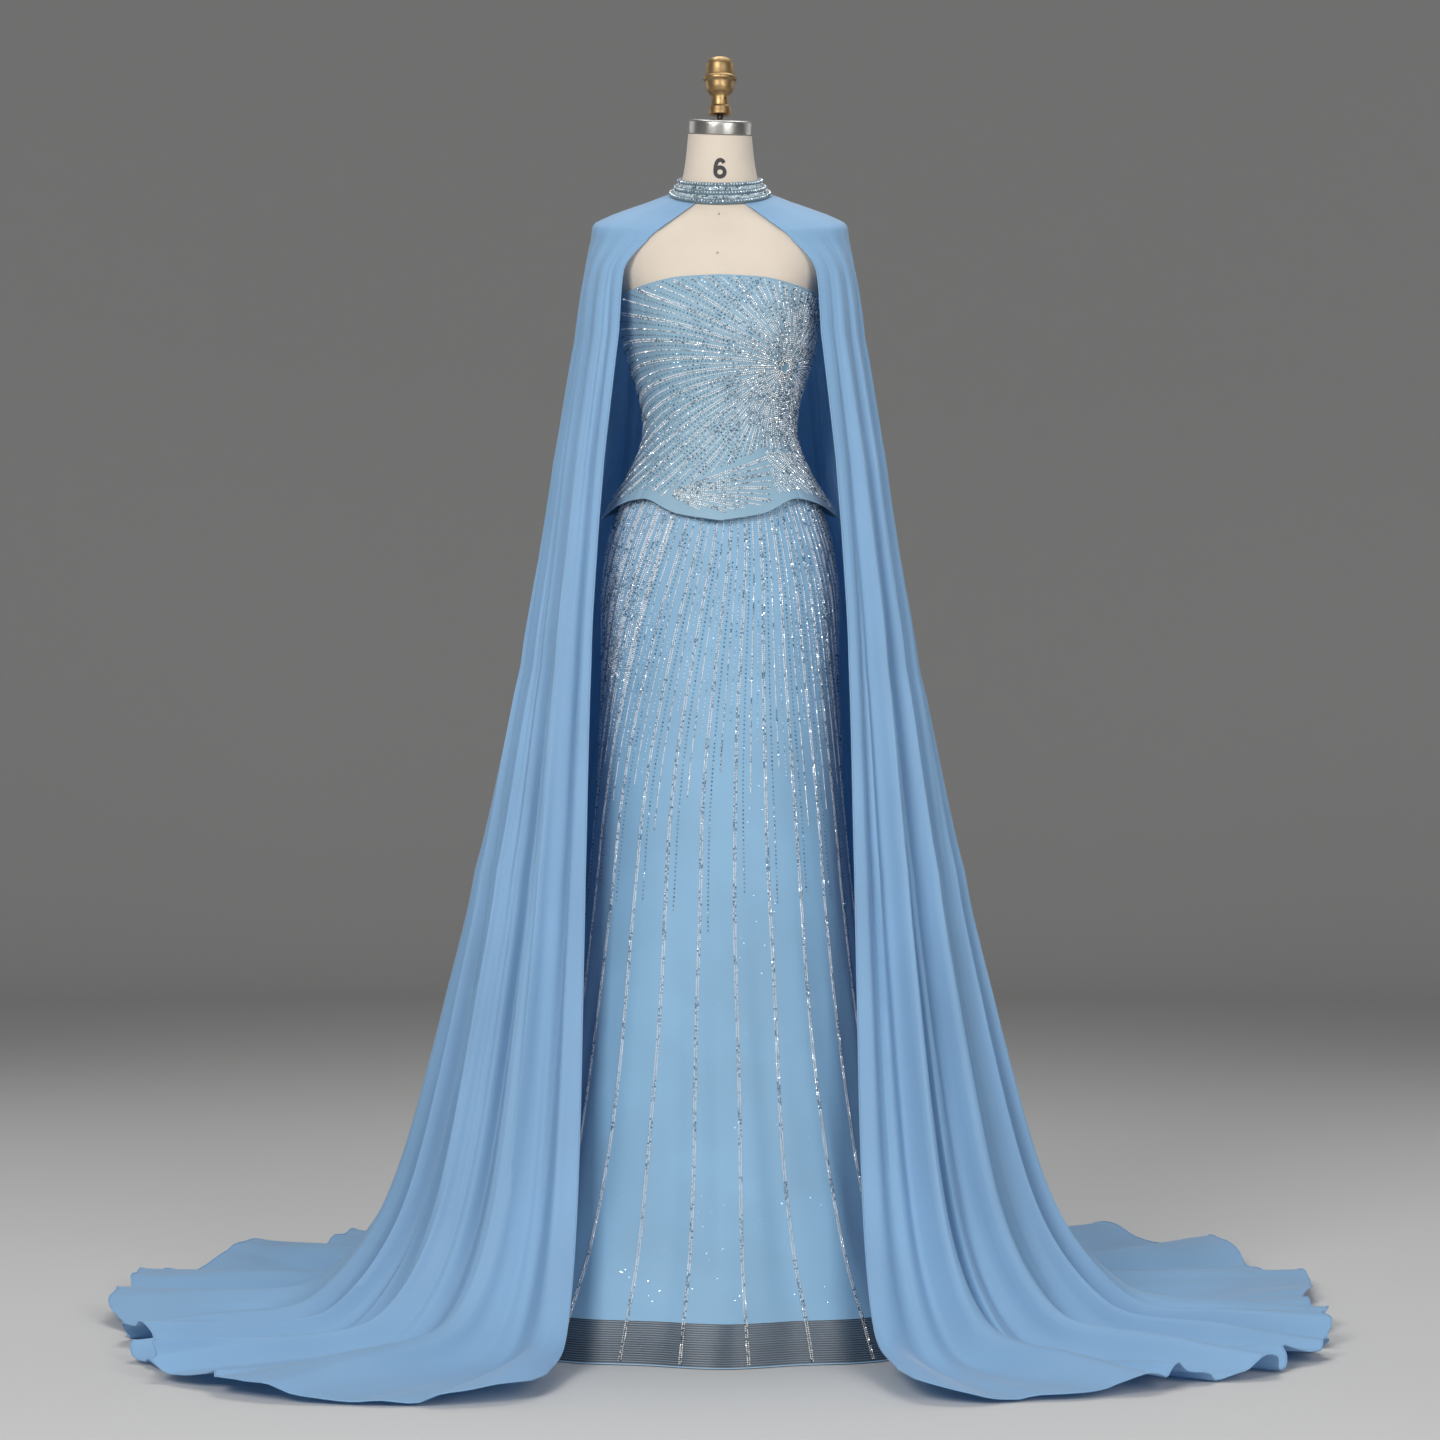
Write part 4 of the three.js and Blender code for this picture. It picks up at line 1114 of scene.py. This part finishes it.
class DressColours(bpy.types.PropertyGroup):
    """Colours a user may change."""

    chiffon: colour("Chiffon", "Colour of the cape", (0.30, 0.52, 0.75))
    bodice: colour("Bodice tulle", "Colour behind the bodice beads", (0.24, 0.39, 0.51))
    skirt: colour("Skirt tulle", "Colour of the skirt", (0.21, 0.395, 0.58))
    lining: colour("Lining", "Colour of the lining and hem braid", (0.27, 0.45, 0.63))
    linen: colour("Linen", "Colour of the dress form's cover", (0.63, 0.555, 0.47))


class DRESS_OT_stage(bpy.types.Operator):
    """Camera, lights, floor and the finishes of the solids that stay"""

    bl_idname = "dress.stage"
    bl_label = "Stage"

    def execute(self, context):
        scene = context.scene
        camera = bpy.data.cameras.new("camera")
        camera.lens, camera.sensor_width, camera.shift_y = LENS, SENSOR, LENS_SHIFT
        eye = new_object("camera", camera)
        eye.location, eye.rotation_euler = CAMERA_PLACE, (math.pi / 2, 0, 0)
        scene.camera = eye
        for name, place, size, power, tint in LAMPS:
            light = bpy.data.lights.new(name, "AREA")
            light.size, light.energy, light.color = size, power, tint
            lamp = new_object(name, light)
            lamp.location, lamp.visible_camera = place, False
            x, y, z = np.subtract(place, LAMP_AIM)
            lamp.rotation_euler = (math.acos(z / math.hypot(x, y, z)), 0, math.atan2(y, x) + math.pi / 2)
        world = bpy.data.worlds.new("studio")
        world.use_nodes = True
        background = world.node_tree.nodes["Background"].inputs
        background["Color"].default_value = (0.9, 0.9, 0.9, 1)
        background["Strength"].default_value = 0.2
        scene.world = world
        scene.view_settings.view_transform = "Standard"
        bend = np.linspace(0, math.pi / 2, 24)
        out = np.array([0, 1, 4, *(FLOOR_RADIUS + FLOOR_BEND * np.sin(bend)), FLOOR_RADIUS + FLOOR_BEND])
        up = np.array([0, 0, 0, *(FLOOR_BEND - FLOOR_BEND * np.cos(bend)), FLOOR_TOP])
        turns = np.linspace(0, 2 * math.pi, 97)[:, None]
        bowl = xyz(np.cos(turns) * out, np.sin(turns) * out, up - FLOOR_DROP) / MM
        floor = body("floor", bowl, turned_over(quads(numbered(bowl))).tolist())
        p = Paint("floor")
        floor.data.materials.append(p.done(p.principled((0.56, 0.56, 0.56), 0.9)))
        for look, nodes in (
            ("rod", ("form_stem",)),
            ("stand", ("form_pole", "form_base")),
            ("nickel", ("zip_slider", "zip_pull", "collar_clasp")),
        ):
            for node in nodes:
                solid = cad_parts[node]
                solid.data.materials.clear()
                solid.data.materials.append(paint(look))
        return {"FINISHED"}


class DRESS_OT_form(bpy.types.Operator):
    """Linen dress form with its cap, finial and marks"""

    bl_idname = "dress.form"
    bl_label = "Dress form"

    def execute(self, context):
        turns = np.linspace(-math.pi, math.pi, 120, endpoint=False)
        levels = np.concatenate([np.linspace(1000, 1598, 62), np.linspace(1604, 1775, 44)])
        torso = around_axis("linen_torso", form_point(*np.meshgrid(turns, levels, indexing="ij")), 50)
        finish_piece(torso, paint("linen"), "linen", "form_torso")
        profile = rounded([(46.6, 0), (47.4, 1), (47.4, 17.5), (45.6, 20.4), (38.4, 21.5)], 3)
        cap = turned("steel_cap", [(0.01, 0), *profile, (0.01, 21.5)], 96)
        lean = Matrix.Rotation(CAP_LEAN, 4, "X") @ Matrix.Rotation(CAP_ROLL, 4, "Y")
        cap.data.transform(Matrix.Translation((0, 0, CAP_BOTTOM * MM)) @ lean)
        finish_piece(cap, paint("steel"), "steel", "form_neck_cap")
        knob = [
            (14.5, 1804), (17, 1804.6), (17, 1816), (13.4, 1817.4), (13.2, 1832), (15.4, 1835.4), (18.6, 1838.8),
            (20.5, 1844), (21.4, 1850), (22, 1853.6), (25, 1856), (25, 1859.8), (21.8, 1862.6), (20.8, 1873),
            (20.2, 1880), (17.2, 1885.4), (11.5, 1889), (1, 1890.2),
        ]
        finial = turned("brass_finial", rounded(knob, 2.2, 5), 72)
        finish_piece(finial, paint("brass"), "brass", "form_finial")
        hole = turned("setscrew", [(1.5, 0), (1.5, 0.5), (0.7, 0.5), (0.7, 0.2)], 20)
        aim = Matrix.Rotation(33 * DEG, 4, "Z") @ Matrix.Rotation(math.pi / 2, 4, "X")
        hole.data.transform(Matrix.Translation((0, 0, 1.827)) @ aim @ Matrix.Translation((0, 0, 0.0129)))
        hole.data.flip_normals()
        finish_piece(hole, paint("rod"), "dark_rod")
        turns = np.linspace(0, 2 * math.pi, 49)
        loop = np.stack([6.9 * np.cos(turns), 6.3 * np.sin(turns) - 5.2], axis=-1)
        knots = [(-6.9, -6), (-7, -1.5), (-6.6, 3), (-5.2, 7.4), (-2.6, 10.6), (0.8, 11.5), (4, 10.3), (6.1, 7.2)]
        hook = smooth_column(np.arange(8.0), np.array(knots), np.linspace(0, 7, 40))
        digit = joined("size_digit", [stroke("digit_0", loop), stroke("digit_1", hook)])
        finish_piece(digit, paint("ink"), "linen")
        pins = []
        for level in (1674.0, 1597.0):
            bpy.ops.mesh.primitive_uv_sphere_add(segments=12, ring_count=8, radius=0.0016, location=(0, 0, 0))
            centre = off_form(np.array(-0.02), np.array(level), np.array(0.4))
            bpy.context.object.data.transform(Matrix.Translation(centre * MM))
            pins.append(bpy.context.object)
        finish_piece(joined("form_pins", pins), paint("pin"), "steel")
        return {"FINISHED"}


class DRESS_OT_bodice(bpy.types.Operator):
    """Bodice panels cut in one with the flared basque"""

    bl_idname = "dress.bodice"
    bl_label = "Bodice and basque"

    def execute(self, context):
        zip_edge = math.pi - ZIP_HALF
        panels = (
            ("front_centre", -PRINCESS, PRINCESS, 64, (0.236, 0.378), 0.062),
            ("front_left", -SIDE_SEAM, -PRINCESS, 32, (0.135, 0.36), 0.034),
            ("front_right", PRINCESS, SIDE_SEAM, 32, (0.135, 0.36), 0.034),
            ("back_left", -zip_edge, -SIDE_SEAM, 56, (0.25, 0.34), 0.06),
            ("back_right", SIDE_SEAM, zip_edge, 56, (0.25, 0.34), 0.06),
        )
        shares = np.linspace(0, 1, 70)
        for name, start, stop, steps, flat, area in panels:
            angle = np.repeat(np.linspace(start, stop, steps)[:, None], len(shares), axis=1)
            hem, top = bodice_edge(angle, "hem"), bodice_edge(angle, "top")
            grid = bodice_point(angle, hem + (top - hem) * shares)
            grid -= grid_normals(grid) * seam_dip(angle, start, stop, 120)
            piece = shell(f"cloth_bodice_{name}", grid, 1.4)
            finish_piece(piece, paint("bodice"), "beaded_tulle", f"bodice_{name}")
        angle = np.linspace(-178, 178, 300) * DEG
        trims = []
        for name, radius, lift in (("top", 0.9, -0.4), ("hem", 0.8, -0.5)):
            points, _ = row_on(bodice_point, angle, bodice_edge(angle, name), lift)
            trims.append(tube(f"trim_{name}", points, radius))
        finish_piece(joined("bodice_piping", trims), paint("bodice"), "beaded_tulle")
        return {"FINISHED"}


class DRESS_OT_skirt(bpy.types.Operator):
    """Skirt, lining edge and horsehair hem"""

    bl_idname = "dress.skirt"
    bl_label = "Skirt"

    def execute(self, context):
        heights = np.concatenate([np.linspace(60.9, 300, 24), np.linspace(316, 1300, 56)])
        gores = (
            ("front", -SKIRT_SIDE, SKIRT_SIDE, 110, (0.92, 1.27), 0.68),
            ("back_right", SKIRT_SIDE, math.pi, 58, (0.5, 1.27), 0.36),
            ("back_left", -math.pi, -SKIRT_SIDE, 58, (0.5, 1.27), 0.36),
        )
        for name, start, stop, steps, flat, area in gores:
            angle, z = panel_grid(start, stop, steps, heights)
            grid = skirt_cloth(angle, z) - outward(angle) * seam_dip(angle, start, stop, 180)
            piece = shell(f"cloth_skirt_{name}", grid, 1.2)
            finish_piece(piece, paint("skirt"), "skirt_tulle", f"skirt_{name}")
        ends = (
            ("front", -SKIRT_SIDE, SKIRT_SIDE, 110, (1.06, 0.062)),
            ("back", SKIRT_SIDE, 2 * math.pi - SKIRT_SIDE, 116, (1.18, 0.062)),
        )
        for name, start, stop, steps, flat in ends:
            angle, z = panel_grid(start, stop, steps, np.linspace(0.8, 60.4, 10))
            turned_back = np.where(angle > math.pi, angle - 2 * math.pi, angle)
            piece = shell(f"cloth_hem_braid_{name}", skirt_cloth(turned_back, z) - outward(angle) * 0.3, 0.7)
            finish_piece(piece, paint("horsehair"), "horsehair", f"hem_braid_{name}")
        turns = np.linspace(-math.pi, math.pi, 220, endpoint=False)
        angle, z = np.meshgrid(turns, np.linspace(32, 76, 8), indexing="ij")
        ring = skirt_cloth(angle, z) - outward(angle) * 2.2
        piece = shell("cloth_lining_hem", ring, 1.0, closed=True)
        finish_piece(piece, paint("lining"), "lining", "lining_hem")
        turns = np.linspace(-math.pi, math.pi, 400)
        stitches = []
        for z, radius in ((60.6, 0.5), (1.4, 0.9)):
            path, _ = row_on(skirt_cloth, turns, np.full_like(turns, z), 0.2)
            stitches.append(tube(f"hem_line_{z:.0f}", path, radius))
        finish_piece(joined("hem_lines", stitches), paint("lining"), "lining")
        return {"FINISHED"}


class DRESS_OT_collar(bpy.types.Operator):
    """Standing collar with its raised rows"""

    bl_idname = "dress.collar"
    bl_label = "Collar"

    def execute(self, context):
        turns, level = np.linspace(-177.6, 177.6, 200) * DEG, COLLAR["level"]
        angle, height = np.meshgrid(turns, level, indexing="ij")
        grid = off_form(angle, height, np.tile(COLLAR["out"], (len(turns), 1)))
        index = numbered(grid)
        faces = quads(np.concatenate([index, index[:, :1]], axis=1)).tolist()
        faces += [index[0].tolist(), index[-1, ::-1].tolist()]
        uv = np.stack([angle * 0.066, height * 0.0012], axis=-1).reshape(-1, 2)
        piece = body("cloth_collar", grid, faces, uv, sharp=50)
        finish_piece(piece, paint("collar"), "collar_cloth", "collar_band")
        return {"FINISHED"}


class DRESS_OT_cape(bpy.types.Operator):
    """Chiffon cape and its rolled edges"""

    bl_idname = "dress.cape"
    bl_label = "Cape"

    def execute(self, context):
        wall = context.scene.dress_sizes.cloth_wall / MM
        for side, word in ((-1, "left"), (1, "right")):
            grid = cape_half(side)
            cut = int(np.searchsorted(cape_steps(side), CAPE_SIDE_STEP - 1e-6))
            for name, part in (("front", grid[: cut + 1]), ("back", grid[cut:])):
                piece = shell(f"cloth_cape_{word}_{name}", part, wall, flip=side > 0, floor=0.4)
                finish_piece(piece, paint("chiffon"), "chiffon", f"cape_{word}_{name}")
            edges = [tube(f"edge_front_{word}", grid[0], 1.1), tube(f"edge_hem_{word}", grid[:, -1] + [0, 0, 0.3], 1.1)]
            finish_piece(joined(f"cape_rolled_edge_{word}", edges), paint("chiffon"), "chiffon")
        return {"FINISHED"}


class DRESS_OT_zip(bpy.types.Operator):
    """Zip tape and its coil at the centre back"""

    bl_idname = "dress.zip"
    bl_label = "Zip"

    def execute(self, context):
        shares = np.linspace(0, 1, 60)
        angle, share = np.meshgrid(np.linspace(-1, 1, 9) * ZIP_HALF, shares, indexing="ij")
        back = np.where(angle < 0, math.pi + angle, -math.pi + angle)
        grid = bodice_point(back, 1198 + (1490 - 1198) * share) - outward(math.pi + angle) * 0.3
        piece = shell("cloth_zip_tape", grid, 1.0)
        finish_piece(piece, paint("lining"), "zip_cloth", "zip_tape")
        level = np.linspace(1200, 1470, 120)
        points, normals = row_on(bodice_point, np.full_like(level, math.pi - 1e-4), level, -0.1)
        coil = [(points + [shift, 0, 0], normals) for shift in (-0.9, 0.9)]
        sizes = 0.0016, 0.0008, 0.0017, 0.0009, 0.0, 0.0, 3
        bead_rows("zip_coil", coil, bead_tree("bugle"), "lining", "zip_cloth", *sizes)
        return {"FINISHED"}


class DRESS_OT_beads(bpy.types.Operator):
    """Rows of bugles, crystals and dots on the bodice, basque, skirt and collar"""

    bl_idname = "dress.beads"
    bl_label = "Beads"

    def execute(self, context):
        step, wide = context.scene.dress_sizes.bead_spacing, context.scene.dress_sizes.bead_width
        bugles, stones = bead_tree("bugle"), bead_tree("crystal")
        double, single, dots = bodice_rays()
        rays = skirt_rays()
        turns = np.linspace(-176, 176, 300) * DEG

        def bodice(rows, shift=0.0):
            return beside(rows, bodice_point, shift)

        def skirt(kind, shift=0.0):
            return beside(rays[kind], skirt_cloth, shift)

        def collar(*rows):
            made = []
            for middle, out in rows:
                level = np.full_like(turns, middle)
                made.append((off_form(turns, level, np.full_like(turns, out)), normal_of(form_point, turns, level)))
            return made

        pair = step, step, wide * 1.4
        bands = collar((1685.4, 6.0), (1695.3, 6.0), (1706.0, 5.8))
        seeds = collar(*((level, 4.0) for level in (1688.8, 1690.2, 1691.6, 1699.2, 1700.8, 1702.3)))
        # Name, rows and look, then spacing, length, width, height, tilt, slant and seed
        for name, rows, look, *sizes in (
            ("bodice_double_rows_upper", bodice(double, -PAIR_SHIFT), "silver", *pair, wide * 1.2, 0.4, 0.35, 5),
            ("bodice_double_rows_lower", bodice(double, PAIR_SHIFT), "silver", *pair, wide * 1.2, 0.4, 0.35, 6),
            ("bodice_single_rows", bodice(single), "crystal", step, wide * 1.45, wide * 1.55, wide * 1.2, 0.5, 0.0, 7),
            ("bodice_dots", bodice(dots), "blue", step * 2.0, wide * 1.6, wide * 1.6, wide * 1.1, 0.5, 0.0, 9),
            ("skirt_long_rows_left", skirt("long", -PAIR_SHIFT), "silver", *pair, wide * 1.25, 0.4, 0.35, 11),
            ("skirt_long_rows_right", skirt("long", PAIR_SHIFT), "silver", *pair, wide * 1.25, 0.4, 0.35, 12),
            (
                "skirt_middle_rows", skirt("middle") + skirt("side"), "silver",
                step, step * 0.95, wide * 1.5, wide * 1.2, 0.4, 0.35, 13,
            ),
            ("skirt_dots", skirt("dots"), "blue", step * 2.1, wide * 1.6, wide * 1.6, wide, 0.5, 0.0, 15),
            ("skirt_spots", skirt("spots"), "crystal", step * 2.0, wide * 1.25, wide * 1.25, wide, 0.5, 0.0, 16),
            ("collar_crystals", bands, "mixed", 0.0046, 0.0036, 0.0040, 0.0030, 0.35, 0.0, 17),
            ("collar_seeds", seeds, "mixed", 0.0026, 0.0021, 0.0012, 0.0012, 0.3, 0.0, 19),
        ):
            slot = {"bodice": "beaded_tulle", "skirt": "skirt_tulle", "collar": "collar_cloth"}[name.split("_")[0]]
            bead_rows(name, rows, bugles if name == "collar_seeds" else stones, look, slot, *sizes)
        return {"FINISHED"}


class DRESS_PT_panel(bpy.types.Panel):
    """Sizes, colours and steps"""

    bl_idname = "DRESS_PT_panel"
    bl_label = "Evening dress"
    bl_space_type = "VIEW_3D"
    bl_region_type = "UI"
    bl_category = "Dress"

    def draw(self, context):
        layout = self.layout
        for group in (context.scene.dress_sizes, context.scene.dress_colours):
            for name in group.bl_rna.properties.keys():
                if name not in ("rna_type", "name"):
                    layout.prop(group, name)
        for operator in OPERATORS:
            layout.operator(operator.bl_idname)


OPERATORS = (
    DRESS_OT_stage,
    DRESS_OT_form,
    DRESS_OT_bodice,
    DRESS_OT_skirt,
    DRESS_OT_collar,
    DRESS_OT_cape,
    DRESS_OT_zip,
    DRESS_OT_beads,
)
CLASSES = (DressSizes, DressColours, *OPERATORS, DRESS_PT_panel)


def register():
    """Registers the classes and the two groups of settings."""
    for cls in CLASSES:
        bpy.utils.register_class(cls)
    bpy.types.Scene.dress_sizes = PointerProperty(type=DressSizes)
    bpy.types.Scene.dress_colours = PointerProperty(type=DressColours)


def unregister():
    """Takes away what register added."""
    del bpy.types.Scene.dress_colours
    del bpy.types.Scene.dress_sizes
    for cls in reversed(CLASSES):
        bpy.utils.unregister_class(cls)


def main():
    """Builds the whole scene."""
    register()
    for operator in OPERATORS:
        area, name = operator.bl_idname.split(".")
        getattr(getattr(bpy.ops, area), name)()
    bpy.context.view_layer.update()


if __name__ == "__main__":
    main()
